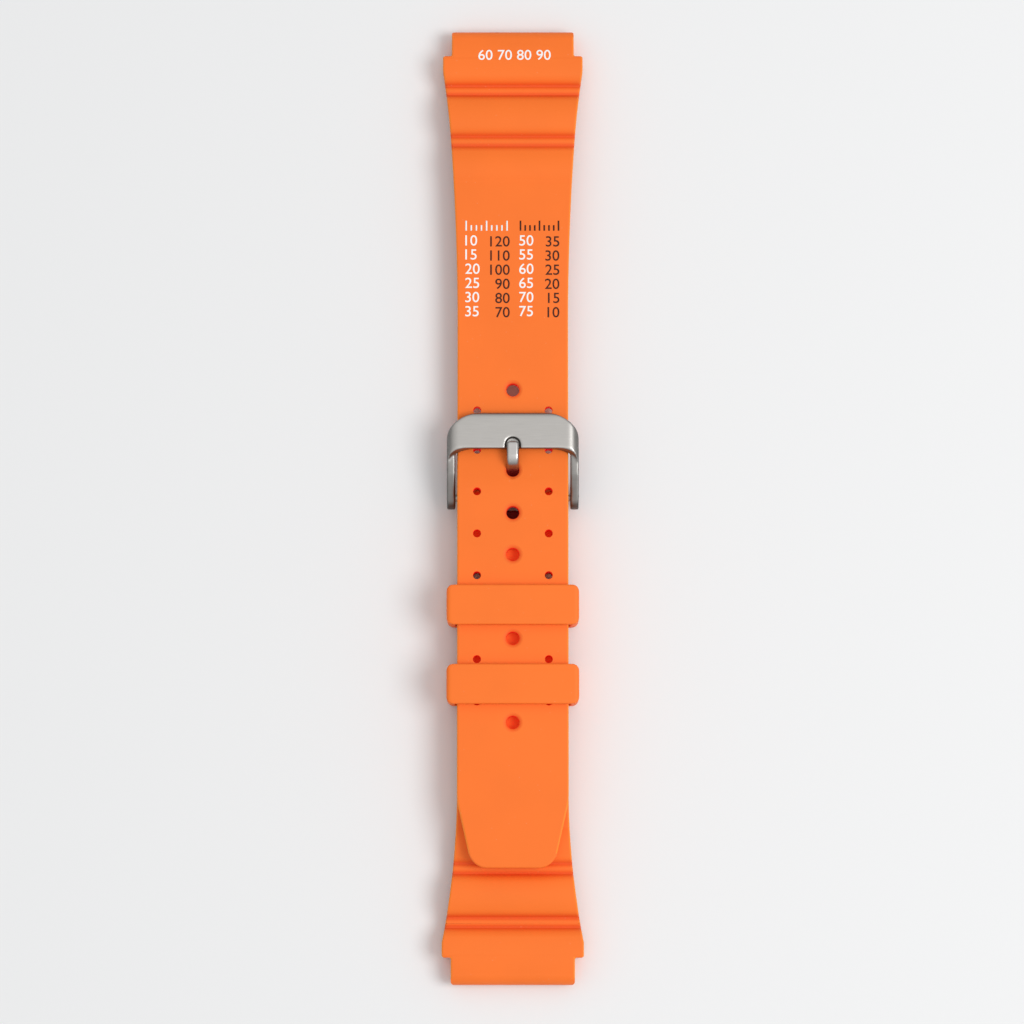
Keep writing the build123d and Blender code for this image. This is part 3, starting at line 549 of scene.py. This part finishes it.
# Satin steel: fine lines along X from a brush, a little uneven shine, and painted shade: darker flanks where the
# face leans away from up, and darker low places, between the two heights in metres.
def make_steel_skin():
    skin, given, place = start_skin("brushed steel", {"Colour": "Color", "Roughness": "Float", "Flank Shade": "Float"})
    stretch = add_node(skin, "Mapping", {"Vector": place["Object"], "Scale": (0.04, 1, 1)})
    lines = add_node(skin, "TexNoise", {"Vector": stretch.outputs["Vector"], "Scale": 9000, "Detail": 3})
    clouds = add_node(skin, "TexNoise", {"Vector": place["Object"], "Scale": 500})
    tone = add_node(skin, "MapRange", {"Value": lines.outputs["Fac"], "To Min": 0.9, "To Max": 1.08})
    facing = add_node(skin, "SeparateXYZ", {"Vector": place["Normal"]})
    lean = {"From Min": FLANK_STEEP, "From Max": FLANK_LEVEL, "To Min": given["Flank Shade"]}
    flank_shade = add_node(skin, "MapRange", {"Value": facing.outputs["Z"], **lean}, interpolation_type="SMOOTHSTEP")
    height = add_node(skin, "SeparateXYZ", {"Vector": place["Object"]})
    low = {"From Min": FOOT_LOW, "From Max": FOOT_TOP, "To Min": given["Flank Shade"]}
    foot_shade = add_node(skin, "MapRange", {"Value": height.outputs["Z"], **low}, interpolation_type="SMOOTHSTEP")
    shaded = given["Colour"]
    for share in (tone, flank_shade, foot_shade):
        scaled = add_node(skin, "VectorMath", {0: shaded, "Scale": share.outputs["Result"]}, operation="SCALE")
        shaded = scaled.outputs["Vector"]
    uneven = add_node(skin, "MapRange", {"Value": clouds.outputs["Fac"], "To Min": -0.06, "To Max": 0.06})
    rough = add_node(skin, "Math", {0: given["Roughness"], 1: uneven.outputs["Result"]})
    return finish_skin(skin, shaded, rough.outputs["Value"], lines.outputs["Fac"])


steel_skin = make_steel_skin()


def make_steel(name, colour, roughness, grain, flank_shade=1.0):
    skin_values = {"Colour": colour, "Roughness": roughness, "Flank Shade": flank_shade}
    return make_finish(name, steel_skin, skin_values, grain, {"Metallic": 1.0})


# A CAD node's mesh is loose triangles in metres: its copy is merged, and in millimetres.
def copy_merged(node):
    shape = bmesh.new()
    shape.from_mesh(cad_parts[node].data)
    bmesh.ops.scale(shape, vec=(1000,) * 3, verts=shape.verts)
    bmesh.ops.remove_doubles(shape, verts=shape.verts, dist=0.001)
    return shape


spring_steel = make_steel("spring bar steel", SPRING_STEEL, roughness=0.3, grain=0.15)
for node in ("spring_bar_tube", "spring_bar_tip_left", "spring_bar_tip_right"):
    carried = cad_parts[node]
    carried.data.materials.clear()
    carried.data.materials.append(spring_steel)

# The coil is cut at its middle into two halves, each closed where it was cut.
for sign, name in ((-1, "left"), (1, "right")):
    coil = copy_merged("spring_bar_spring")
    parts = coil.verts[:] + coil.edges[:] + coil.faces[:]
    bmesh.ops.bisect_plane(coil, geom=parts, plane_co=(0, 0, 0), plane_no=(-sign, 0, 0), clear_outer=True)
    bmesh.ops.holes_fill(coil, edges=[edge for edge in coil.edges if edge.is_boundary])
    half = put_in_scene(coil, name + "_coil")
    finish_piece(half, [spring_steel], "buckle", "spring_bar_steel", *(["spring_bar_spring"] if sign < 0 else []))
    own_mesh(half)

# ---------------------------------------------------------------- the buckle
# A pin buckle stamped from thick stainless sheet: one flat bar, bent down at both sides into arms that hold
# the spring bar. Its edges are broken and its faces brushed to a satin finish along the bar.

BUCKLE_STEEL = (0.53, 0.51, 0.485, 1.0)
BUCKLE_HALF = 10.7
WINDOW_HALF = 9.35
ARM_TOP = [(BAR_Y, 4.0), (BAR_Y, 5.25), (2.6, 5.95), (4.4, 6.5), (6.4, 6.72), (8.8, 7.1), (8.8, 4.9), (4.4, 4.2)]
BUCKLE_OUTER_Y = 14.44
BUCKLE_CORNER = (2.8, 3.1)
BUCKLE_CORNER_ROUNDS = (2.6, 6.0)
BUCKLE_CUT_START, ABOVE_BUCKLE = -5, 12
BUCKLE_SKIN_GRAIN, BUCKLE_POLISH = 0.1, 34


# Polishing leaves no hard edge on the stamping: it is given an even skin, whose points are then smoothed.
def soften_edges(piece, grain, passes):
    skin = piece.modifiers.new("even skin", "REMESH")
    skin.mode = "VOXEL"
    skin.voxel_size = grain
    polish = piece.modifiers.new("polish", "SMOOTH")
    polish.factor = 0.5
    polish.iterations = passes
    apply_modifiers(piece)


stamping = copy_merged("buckle_frame")
bmesh.ops.dissolve_limit(
    stamping, angle_limit=math.radians(1), verts=stamping.verts[:], edges=stamping.edges[:], delimit=set()
)
buckle = put_in_scene(stamping, "buckle")

# The tops of the two arms are filled out, and the corners of the bar are rounded in plan.
for arm_low, arm_high in ((-BUCKLE_HALF, -WINDOW_HALF), (WINDOW_HALF, BUCKLE_HALF)):
    carve(buckle, make_slab(draw_polygon(ARM_TOP), "arm top", arm_low, arm_high, side_view=True), "UNION")
outline = bmesh.new()
side_corner = (BUCKLE_HALF, BUCKLE_OUTER_Y - BUCKLE_CORNER[1])
outer_corner = (BUCKLE_HALF - BUCKLE_CORNER[0], BUCKLE_OUTER_Y)
corners = [(BUCKLE_HALF, BUCKLE_CUT_START), side_corner, outer_corner, (0, BUCKLE_OUTER_Y)]
draw_path(outline, outline.verts.new((0, BUCKLE_CUT_START, 0)), corners)
half_outline(outline)
for (x, y), radius in zip((side_corner, outer_corner), BUCKLE_CORNER_ROUNDS):
    for sign in (-1, 1):
        round_corner(outline, (sign * x, y), radius)
carve(buckle, make_slab(outline, "buckle outline", BELOW_STRAP, ABOVE_BUCKLE), "INTERSECT")
soften_edges(buckle, BUCKLE_SKIN_GRAIN, BUCKLE_POLISH)
buckle_steel = make_steel("buckle steel", BUCKLE_STEEL, roughness=0.42, grain=0.35, flank_shade=0.5)
finish_piece(buckle, [buckle_steel], "buckle", "buckle_steel", "buckle_frame")

# ---------------------------------------------------------------- the tongue
# A flattened stainless wire with an eye about the spring bar. It comes up through the strap's hole, bends over
# and ends in a dome that rests in the notch of the buckle's bar.

TONGUE_STEEL = (0.62, 0.60, 0.58, 1.0)
TONGUE_WIDTH = 2.02
TONGUE_THICKNESS = 1.1
TONGUE_EYE_RADIUS = 1.45
EYE_CUT_REACH = 5
TONGUE_ROUTE = [Vector((BAR_Y, 2.45)), Vector((2.6, 2.45)), Vector((6.6, 8.11)), Vector((9.702, 7.8935))]
TONGUE_BENDS = (1.6, 1.7)
TONGUE_ROUND = 0.5
BEND_STEPS = 16
DOME_STEPS = 9


# The wire's open end is pushed on by a move, which may also turn or shrink it.
def push_wire(wire, ring, move):
    pushed = bmesh.ops.extrude_edge_only(wire, edges=ring)["geom"]
    bmesh.ops.transform(wire, matrix=move, verts=[item for item in pushed if isinstance(item, bmesh.types.BMVert)])
    return [item for item in pushed if isinstance(item, bmesh.types.BMEdge)]


def run_to(start, end):
    return Matrix.Translation((0, *(end - start)))


def about(place, change):
    return Matrix.Translation((0, *place)) @ change @ Matrix.Translation((0, *-place))


wire = bmesh.new()
bmesh.ops.create_grid(wire, x_segments=1, y_segments=1, size=0.5)
bmesh.ops.scale(wire, vec=(TONGUE_WIDTH, TONGUE_THICKNESS, 1), verts=wire.verts)
for corner in [vert.co.xy.copy() for vert in wire.verts]:
    round_corner(wire, corner, TONGUE_ROUND)
wire.transform(Matrix.Translation((0, *TONGUE_ROUTE[0])) @ Matrix.Rotation(math.pi / 2, 4, "X"))
ring, reached, heading = wire.edges[:], TONGUE_ROUTE[0], Vector((1, 0))
for index, bend in enumerate(TONGUE_BENDS, 1):
    leaving = (TONGUE_ROUTE[index + 1] - TONGUE_ROUTE[index]).normalized()
    turn = math.atan2(heading.cross(leaving), heading.dot(leaving))
    setback = bend * math.tan(abs(turn) / 2)
    bend_start = TONGUE_ROUTE[index] - setback * heading
    ring = push_wire(wire, ring, run_to(reached, bend_start))
    centre = bend_start + math.copysign(bend, turn) * Vector((-heading.y, heading.x))
    for _ in range(BEND_STEPS):
        ring = push_wire(wire, ring, about(centre, Matrix.Rotation(turn / BEND_STEPS, 4, "X")))
    reached, heading = TONGUE_ROUTE[index] + setback * leaving, leaving
dome_start = TONGUE_ROUTE[-1] - TONGUE_THICKNESS / 2 * heading
ring = push_wire(wire, ring, run_to(reached, dome_start))
reached = dome_start
for step in range(1, DOME_STEPS):
    angle, passed = (math.pi / 2 * count / DOME_STEPS for count in (step, step - 1))
    place = reached + TONGUE_THICKNESS / 2 * (math.sin(angle) - math.sin(passed)) * heading
    smaller = about(place, Matrix.Scale(math.cos(angle) / math.cos(passed), 4))
    ring = push_wire(wire, ring, smaller @ run_to(reached, place))
    reached = place
bmesh.ops.contextual_create(wire, geom=ring)
bmesh.ops.recalc_face_normals(wire, faces=wire.faces)
tongue = put_in_scene(wire, "tongue")
eye, eye_bore = bmesh.new(), bmesh.new()
add_cylinder(eye, bar_place, TONGUE_EYE_RADIUS, -TONGUE_WIDTH / 2, TONGUE_WIDTH / 2)
carve(tongue, put_in_scene(eye, "eye"), "UNION")
add_cylinder(eye_bore, bar_place, KNUCKLE_BORE_RADIUS, -EYE_CUT_REACH, EYE_CUT_REACH)
carve(tongue, put_in_scene(eye_bore, "eye bore"), "DIFFERENCE")
tongue_steel = make_steel("tongue steel", TONGUE_STEEL, roughness=0.28, grain=0.15, flank_shade=0.6)
finish_piece(tongue, [tongue_steel], "tongue", "tongue_steel", "buckle_tongue")

# ---------------------------------------------------------------- the long piece
# The half with the sizing holes, moulded from the same rubber: the waved lug end, a flat body that dips under
# the buckle's bar and comes up over the short piece, nine sunk holes with small ones beside them, and the tail.

LONG_BASE = 3.2
LONG_THICKNESS = 2.5
LONG_THIRD_CREST = 3.3
LONG_WAVE_END_HEIGHT = 2.75
TAIL_BASE = 4.95
TAIL_LENGTH = 60.1
LONG_TAPER_KNEE = 18.9
LONG_TAPER_KNEE_WIDTH = 20.2
LONG_TAPER_LENGTH = 49.6
KNEE_STEPS, LAST_SWEEP_STEPS = 40, 24
TIP_TAPER_LENGTH = 10.7
TIP_TAPER_ANGLE = 12.7
TIP_CORNER, TIP_TAPER_CORNER = 3.0, 9.0
DIP_RADIUS = 14.0
DIP_SLOPE = 11.0
DIP_FADE = 0.08
DIP_STEPS = 12
HOLE_COUNT = 9
HOLE_PITCH = 6.79
HOLE_FROM_TIP = 23.4
HOLE_RADIUS = 1.05
SINK_RADIUS = 1.68
SINK_ANGLE = 120.0
SINK_POINT = 0.3
HOLE_CUT_REACH = 5
SINK_RIM_MARGIN, HOLE_RIM_MARGIN = 0.3, 0.1
HOLE_TINT_MARGIN, SIDE_HOLE_TINT_MARGIN, SINK_TINT_MARGIN = 0.1, 0.12, 0.2
SINK_PAINTED_SHADE = 0.75

dip_angle = math.radians(DIP_SLOPE)
dip_arc = DIP_RADIUS * math.sin(dip_angle)
ramp_drop = TAIL_BASE - LONG_BASE - 2 * DIP_RADIUS * (1 - math.cos(dip_angle))
ramp_length = ramp_drop / math.sin(dip_angle)
dip_end = BAR_Y + 2 * dip_arc + ramp_length * math.cos(dip_angle)
tail_tip = BAR_Y - TAIL_LENGTH


# A place in one of the dip's two bends, at a height over the strap's underside.
def dip_point(share, height, lower):
    angle = dip_angle * share
    if lower:
        radius = DIP_RADIUS - height
        return dip_end - radius * math.sin(angle), LONG_BASE + DIP_RADIUS - radius * math.cos(angle)
    radius = DIP_RADIUS + height
    return BAR_Y + radius * math.sin(angle), TAIL_BASE - DIP_RADIUS + radius * math.cos(angle)


def draw_dip(sheet, pen, height):
    pen = draw_arc(sheet, pen, dip_point(1 / 2, height, True), dip_point(1, height, True), DIP_STEPS)
    pen = draw_line(sheet, pen, dip_point(1, height, False))
    middle = dip_point((1 + DIP_FADE) / 2, height, False)
    return draw_arc(sheet, pen, middle, dip_point(DIP_FADE, height, False), DIP_STEPS)


# A place on the strap's top, at a distance along it from the start of the dip, with its slope.
def strap_top(x, station):
    first_bend = (DIP_RADIUS + LONG_THICKNESS / 2) * dip_angle
    second_bend = (DIP_RADIUS - LONG_THICKNESS / 2) * dip_angle
    ramp_end = first_bend + ramp_length
    if station <= 0:
        y, z, slope = BAR_Y + station, TAIL_BASE + LONG_THICKNESS, 0
    elif station <= first_bend:
        slope = dip_angle * station / first_bend
        y, z = dip_point(station / first_bend, LONG_THICKNESS, False)
    elif station <= ramp_end:
        slope = dip_angle
        y, z = dip_point(1, LONG_THICKNESS, False)
        y, z = y + (station - first_bend) * math.cos(slope), z - (station - first_bend) * math.sin(slope)
    elif station <= ramp_end + second_bend:
        share = 1 - (station - ramp_end) / second_bend
        slope = dip_angle * share
        y, z = dip_point(share, LONG_THICKNESS, True)
    else:
        y, z, slope = dip_end + station - ramp_end - second_bend, LONG_BASE + LONG_THICKNESS, 0
    return Matrix.Translation((x, y, z)) @ Matrix.Rotation(-slope, 4, "X")


side = bmesh.new()
top, under = draw_lug_end(side, 1, LONG_BASE, LONG_THIRD_CREST, LONG_WAVE_END_HEIGHT, LONG_THICKNESS)
pen = draw_line(side, top, dip_point(0, LONG_THICKNESS, True))
pen = draw_dip(side, pen, LONG_THICKNESS)
draw_path(side, pen, [(tail_tip, TAIL_BASE + LONG_THICKNESS), (tail_tip, TAIL_BASE), (BAR_Y, TAIL_BASE)])
pen = draw_line(side, under, dip_point(0, 0, True))
draw_dip(side, pen, 0)
fill_outline(side)
soften_creases(side, 1, LONG_BASE)
long_piece = make_slab(side, "long_piece", -SHOULDER_WIDTH, SHOULDER_WIDTH, side_view=True)

end_y, shoulder_y = CLOSED_LENGTH / 2, CLOSED_LENGTH / 2 - TAB_LENGTH
tip_half = STRAP_WIDTH / 2 - TIP_TAPER_LENGTH * math.tan(math.radians(TIP_TAPER_ANGLE))
outline = bmesh.new()
pen = outline.verts.new((0, tail_tip, 0))
taper_end, body_end = tail_tip + TIP_TAPER_LENGTH, end_y - LONG_TAPER_LENGTH
pen = draw_path(outline, pen, [(tip_half, tail_tip), (STRAP_WIDTH / 2, taper_end), (STRAP_WIDTH / 2, body_end)])
knee = (LONG_TAPER_KNEE_WIDTH / 2, end_y - LONG_TAPER_KNEE)
pen, onward = draw_tangent_arc(outline, pen, (0, 1), knee, KNEE_STEPS)
last_sweep = (SHOULDER_WIDTH / 2, shoulder_y - SHOULDER_LENGTH)
pen, _ = draw_tangent_arc(outline, pen, onward, last_sweep, LAST_SWEEP_STEPS)
corners = [(SHOULDER_WIDTH / 2, shoulder_y), (LUG_WIDTH / 2, shoulder_y), (LUG_WIDTH / 2, end_y), (0, end_y)]
draw_path(outline, pen, corners)
half_outline(outline)
for sign in (-1, 1):
    round_corner(outline, (sign * tip_half, tail_tip), TIP_CORNER)
    round_corner(outline, (sign * STRAP_WIDTH / 2, taper_end), TIP_TAPER_CORNER)
    round_corner(outline, (sign * SHOULDER_WIDTH / 2, shoulder_y), SHOULDER_CORNER)
    round_corner(outline, (sign * LUG_WIDTH / 2, end_y), LUG_CORNER)
carve(long_piece, make_slab(outline, "long outline", BELOW_STRAP, ABOVE_STRAP), "INTERSECT")

hole_stations = [tail_tip + HOLE_FROM_TIP - BAR_Y + index * HOLE_PITCH for index in range(HOLE_COUNT)]
centre_holes = [strap_top(0, station) for station in hole_stations]
side_holes = [
    strap_top(sign * SIDE_HOLE_SPACING / 2, station + HOLE_PITCH / 2)
    for station in hole_stations[:-1]
    for sign in (-1, 1)
]
holes, sinks = bmesh.new(), bmesh.new()
sink_slope = math.tan(math.radians(SINK_ANGLE / 2))
for place in centre_holes:
    add_cylinder(holes, place, HOLE_RADIUS, -HOLE_CUT_REACH, HOLE_CUT_REACH)
    add_cone(sinks, place, SINK_POINT, SINK_RADIUS + sink_slope, (SINK_POINT - SINK_RADIUS) / sink_slope, 1)
for place in side_holes:
    add_cylinder(holes, place, SIDE_HOLE_RADIUS, -HOLE_CUT_REACH, HOLE_CUT_REACH)
long_bore = (0, *lug_point(1, LONG_BASE, END_RADIUS, END_RADIUS))
add_cylinder(holes, Matrix.Translation(long_bore) @ across, LUG_BORE_RADIUS, -CUT_REACH, CUT_REACH)
carve(long_piece, put_in_scene(holes, "holes"), "DIFFERENCE")
carve(long_piece, put_in_scene(sinks, "sinks"), "DIFFERENCE")
rims = lug_rims(long_bore, end_y)
sink_foot = Vector((0, 0, (HOLE_RADIUS - SINK_RADIUS) / sink_slope))
rim_reaches = (SINK_RADIUS + SINK_RIM_MARGIN, SIDE_HOLE_RADIUS + HOLE_RIM_MARGIN)
for places, reach in zip((centre_holes, side_holes), rim_reaches):
    for place in places:
        rims += [(place.translation, reach), (place @ Vector((0, 0, -LONG_THICKNESS)), reach)]
        rims.append((place @ sink_foot, HOLE_RADIUS + HOLE_RIM_MARGIN))
round_edges(long_piece, rims)
# Painted shade in the holes, round the sinks and in the creases; the hole walls also get a painted glow.
hole_reaches = [(place, HOLE_RADIUS + HOLE_TINT_MARGIN) for place in centre_holes]
hole_reaches += [(place, SIDE_HOLE_RADIUS + SIDE_HOLE_TINT_MARGIN) for place in side_holes]
sink_reaches = [(place, HOLE_RADIUS + SINK_TINT_MARGIN, SINK_PAINTED_SHADE) for place in centre_holes]
paint_shade_in_deep_places(long_piece, 1, LONG_BASE, hole_reaches, sink_reaches)

# ---------------------------------------------------------------- the print on the long piece
# Four columns of plain running numbers under two scales of ticks, and one row of numbers on the lug end. They
# are pad printed on the rubber in white and in dark brown ink, a thin coat that follows the waves.

FIGURE_HEIGHT = 1.72
FIGURE_PAIR_WIDTH = 2.36
ROW_TOP = 43.70
ROW_PITCH = 2.331
DARK_ROW_DROP = 0.16
WHITE_COLUMNS = (-7.75, 1.045)
DARK_COLUMNS = (-0.506, 7.59)
SCALE_LOW, SCALE_HIGH = 44.44, 46.09
TICK_WIDTH = 0.26
TICK_COUNT, LONG_TICK_EVERY = 9, 4
SHORT_TICK_SHARE = 0.55
WHITE_SCALE = (WHITE_COLUMNS[0] + TICK_WIDTH / 2, -0.95)
DARK_SCALE = (1.26, DARK_COLUMNS[1] - TICK_WIDTH / 2)
ROW_COUNT = 6
END_FIGURES_LEFT = -5.65
END_FIGURES_TOP = 74.62
INK_RAISE = 0.03
INK_SINK = 0.05
INK_STRIP = 0.3
ABOVE_INK = 30
WHITE_INK = (0.93, 0.93, 0.92, 1.0)
DARK_INK = (0.055, 0.012, 0.006, 1.0)


def draw_figures(words):
    line = bpy.data.curves.new("figures", "FONT")
    line.body = words
    line.size = 1
    line.offset = 0.004
    line.extrude = 0.5
    line.resolution_u = 5
    holder = bpy.data.objects.new("figures", line)
    bpy.context.scene.collection.objects.link(holder)
    bpy.context.view_layer.update()
    mesh = bpy.data.meshes.new_from_object(holder.evaluated_get(bpy.context.evaluated_depsgraph_get()))
    bpy.data.objects.remove(holder)
    figures = bmesh.new()
    figures.from_mesh(mesh)
    return figures


def spread(shape, axis):
    places = [vert.co[axis] for vert in shape.verts]
    return min(places), max(places)


pattern = draw_figures("00")
figure_scale_x = FIGURE_PAIR_WIDTH / (spread(pattern, 0)[1] - spread(pattern, 0)[0])
figure_scale_y = FIGURE_HEIGHT / (spread(pattern, 1)[1] - spread(pattern, 1)[0])
pattern.free()


def add_figures(sheet, words, x, top, from_right=False):
    figures = draw_figures(words)
    bmesh.ops.scale(figures, vec=(figure_scale_x, figure_scale_y, 1), verts=figures.verts)
    edge = spread(figures, 0)[1 if from_right else 0]
    bmesh.ops.translate(figures, vec=(x - edge, top - spread(figures, 1)[1], 0), verts=figures.verts)
    carried = bpy.data.meshes.new("figures")
    figures.to_mesh(carried)
    figures.free()
    sheet.from_mesh(carried)


def add_scale(sheet, left, right):
    for index in range(TICK_COUNT):
        height = (SCALE_HIGH - SCALE_LOW) * (1 if index % LONG_TICK_EVERY == 0 else SHORT_TICK_SHARE)
        place = Matrix.Translation((left + (right - left) * index / (TICK_COUNT - 1), SCALE_LOW + height / 2, 0))
        size = Matrix.Diagonal((TICK_WIDTH, height, 1, 1))
        bmesh.ops.create_cube(sheet, size=1, matrix=place @ size)


# The ink is cut into short strips, so that it bends with the rubber, and dropped onto its surface.
def lay_ink(sheet, name, ink):
    low, high = spread(sheet, 1)
    for step in range(int((high - low) / INK_STRIP)):
        parts = sheet.verts[:] + sheet.edges[:] + sheet.faces[:]
        bmesh.ops.bisect_plane(sheet, geom=parts, plane_co=(0, low + INK_STRIP * step, 0), plane_no=(0, 1, 0))
    for vert in sheet.verts:
        surface = rubber_surface.ray_cast(Vector((vert.co.x, vert.co.y, ABOVE_INK)), Vector((0, 0, -1)))[0]
        vert.co.z = surface.z + (INK_RAISE if vert.co.z > 0 else -INK_SINK)
    finish_piece(put_in_scene(sheet, name), [ink], "straps", "orange_rubber")


rubber_surface = BVHTree.FromObject(long_piece, bpy.context.evaluated_depsgraph_get())
white_ink = make_rubber("white ink", WHITE_INK, dust=0.0)
dark_ink = make_rubber("dark brown ink", DARK_INK, dust=0.0)
white_sheet, dark_sheet = bmesh.new(), bmesh.new()
for row in range(ROW_COUNT):
    top = ROW_TOP - row * ROW_PITCH
    dark_top = top - DARK_ROW_DROP
    add_figures(white_sheet, str(10 + 5 * row), WHITE_COLUMNS[0], top)
    add_figures(white_sheet, str(50 + 5 * row), WHITE_COLUMNS[1], top)
    add_figures(dark_sheet, str(120 - 10 * row), DARK_COLUMNS[0], dark_top, from_right=True)
    add_figures(dark_sheet, str(35 - 5 * row), DARK_COLUMNS[1], dark_top, from_right=True)
add_scale(white_sheet, *WHITE_SCALE)
add_scale(dark_sheet, *DARK_SCALE)
add_figures(white_sheet, "60 70 80 90", END_FIGURES_LEFT, END_FIGURES_TOP)
lay_ink(white_sheet, "white_print", white_ink)
lay_ink(dark_sheet, "dark_print", dark_ink)
finish_piece(long_piece, strap_rubber, "straps", "orange_rubber", "long_strap")

# ---------------------------------------------------------------- the keepers
# Two loose loops of the same rubber that hold the tail down. Each is moulded as one closed band, rounded at its
# corners and softened at its rims, and slides along the strap.

KEEPER_LENGTH = 6.43
KEEPER_WALL = 1.4
KEEPER_WIDTH = 21.4
KEEPER_LOW, KEEPER_HIGH = 0.3, 9.0
KEEPER_CORNER = 0.7
KEEPER_INNER_CORNER = 0.3
KEEPER_END_CORNER = 1.1
KEEPER_SKIN_GRAIN, KEEPER_POLISH = 0.15, 5
UPPER_KEEPER_END = -13.695
KEEPER_SPACING = 12.8
KEEPER_ORANGE = (0.978, 0.193, 0.024, 1.0)

keeper_rubber = make_rubber("keeper rubber", KEEPER_ORANGE, dust=0.2)


def make_band(name, end, width, length, low, high, corner):
    band = bmesh.new()
    bmesh.ops.create_cube(band, size=1)
    bmesh.ops.scale(band, vec=(width, length, high - low), verts=band.verts)
    bmesh.ops.translate(band, vec=(0, end - KEEPER_LENGTH / 2, (high + low) / 2), verts=band.verts)
    long_edges = [edge for edge in band.edges if abs((edge.verts[0].co - edge.verts[1].co).y) > 1]
    bmesh.ops.bevel(band, geom=long_edges, offset=corner, segments=12, profile=0.5, affect="EDGES", material=-1)
    return put_in_scene(band, name)


def make_keeper(name, end, body, node):
    keeper = make_band(name, end, KEEPER_WIDTH, KEEPER_LENGTH, KEEPER_LOW, KEEPER_HIGH, KEEPER_CORNER)
    inside = make_band(
        "inside", end, KEEPER_WIDTH - 2 * KEEPER_WALL, 2 * KEEPER_LENGTH, KEEPER_LOW + KEEPER_WALL,
        KEEPER_HIGH - KEEPER_WALL, KEEPER_INNER_CORNER,
    )
    carve(keeper, inside, "DIFFERENCE")
    outline = bmesh.new()
    bmesh.ops.create_grid(outline, x_segments=1, y_segments=1, size=0.5)
    bmesh.ops.scale(outline, vec=(KEEPER_WIDTH, KEEPER_LENGTH, 1), verts=outline.verts)
    bmesh.ops.translate(outline, vec=(0, end - KEEPER_LENGTH / 2, 0), verts=outline.verts)
    for corner in [vert.co.xy.copy() for vert in outline.verts]:
        round_corner(outline, corner, KEEPER_END_CORNER)
    carve(keeper, make_slab(outline, "keeper outline", BELOW_STRAP, ABOVE_STRAP), "INTERSECT")
    soften_edges(keeper, KEEPER_SKIN_GRAIN, KEEPER_POLISH)
    finish_piece(keeper, [keeper_rubber], body, "keeper_rubber", node)


make_keeper("upper_loop", UPPER_KEEPER_END, "keeper_upper", "upper_keeper")
make_keeper("lower_loop", UPPER_KEEPER_END - KEEPER_SPACING, "keeper_lower", "lower_keeper")

# ---------------------------------------------------------------- floor, light and camera
# A white table under a broad soft lamp from the lower right, with an even pale room round it. The camera
# stands high over the strap and leans a little towards its lower end. Sizes here are in metres.

TABLE_WHITE = (0.85, 0.855, 0.86, 1)
ROOM_LOW, ROOM_HIGH = 0.3, 0.84
LAMP_PLACE = Vector((0.62, -0.12, 0.9))
LAMP_WIDTH, LAMP_POWER = 0.6, 5.5
LOOK_AT = Vector((-0.00013, -0.00151, 0.004))
CAMERA_DISTANCE = 0.7
CAMERA_TILT = math.radians(5.4)
SENSOR_WIDTH = 36
FOCAL_PIXELS, IMAGE_WIDTH = 4305, 1024

floor_mesh = bmesh.new()
bmesh.ops.create_grid(floor_mesh, x_segments=1, y_segments=1, size=1.5)
floor = put_in_scene(floor_mesh, "floor")
paper = bpy.data.materials.new("white table")
paper.use_nodes = True
matt = paper.node_tree.nodes["Principled BSDF"]
matt.inputs["Base Color"].default_value = TABLE_WHITE
matt.inputs["Roughness"].default_value = 0.8
floor.data.materials.append(paper)

scene = bpy.context.scene
world = bpy.data.worlds.new("pale room")
world.use_nodes = True
room = world.node_tree
room.nodes["Background"].inputs["Color"].default_value = (1, 1, 1, 1)
way = add_node(room, "TexCoord", {})
height = add_node(room, "SeparateXYZ", {"Vector": way.outputs["Generated"]})
level = add_node(room, "MapRange", {"Value": height.outputs["Z"], "To Min": ROOM_LOW, "To Max": ROOM_HIGH})
room.links.new(level.outputs["Result"], room.nodes["Background"].inputs["Strength"])
scene.world = world

lamp = bpy.data.lights.new("soft lamp", "AREA")
lamp.shape = "DISK"
lamp.size = LAMP_WIDTH
lamp.energy = LAMP_POWER
lamp_holder = bpy.data.objects.new("soft lamp", lamp)
lamp_holder.location = LAMP_PLACE
lamp_holder.rotation_euler = (-LAMP_PLACE).to_track_quat("-Z", "Y").to_euler()
scene.collection.objects.link(lamp_holder)

camera_data = bpy.data.cameras.new("camera")
camera_data.sensor_width = SENSOR_WIDTH
camera_data.lens = SENSOR_WIDTH * FOCAL_PIXELS / IMAGE_WIDTH
camera_data.clip_start = 0.01
camera = bpy.data.objects.new("camera", camera_data)
camera.location = LOOK_AT + CAMERA_DISTANCE * Vector((0, -math.sin(CAMERA_TILT), math.cos(CAMERA_TILT)))
camera.rotation_euler = (CAMERA_TILT, 0, 0)
scene.collection.objects.link(camera)
scene.camera = camera
scene.view_settings.view_transform = "Standard"
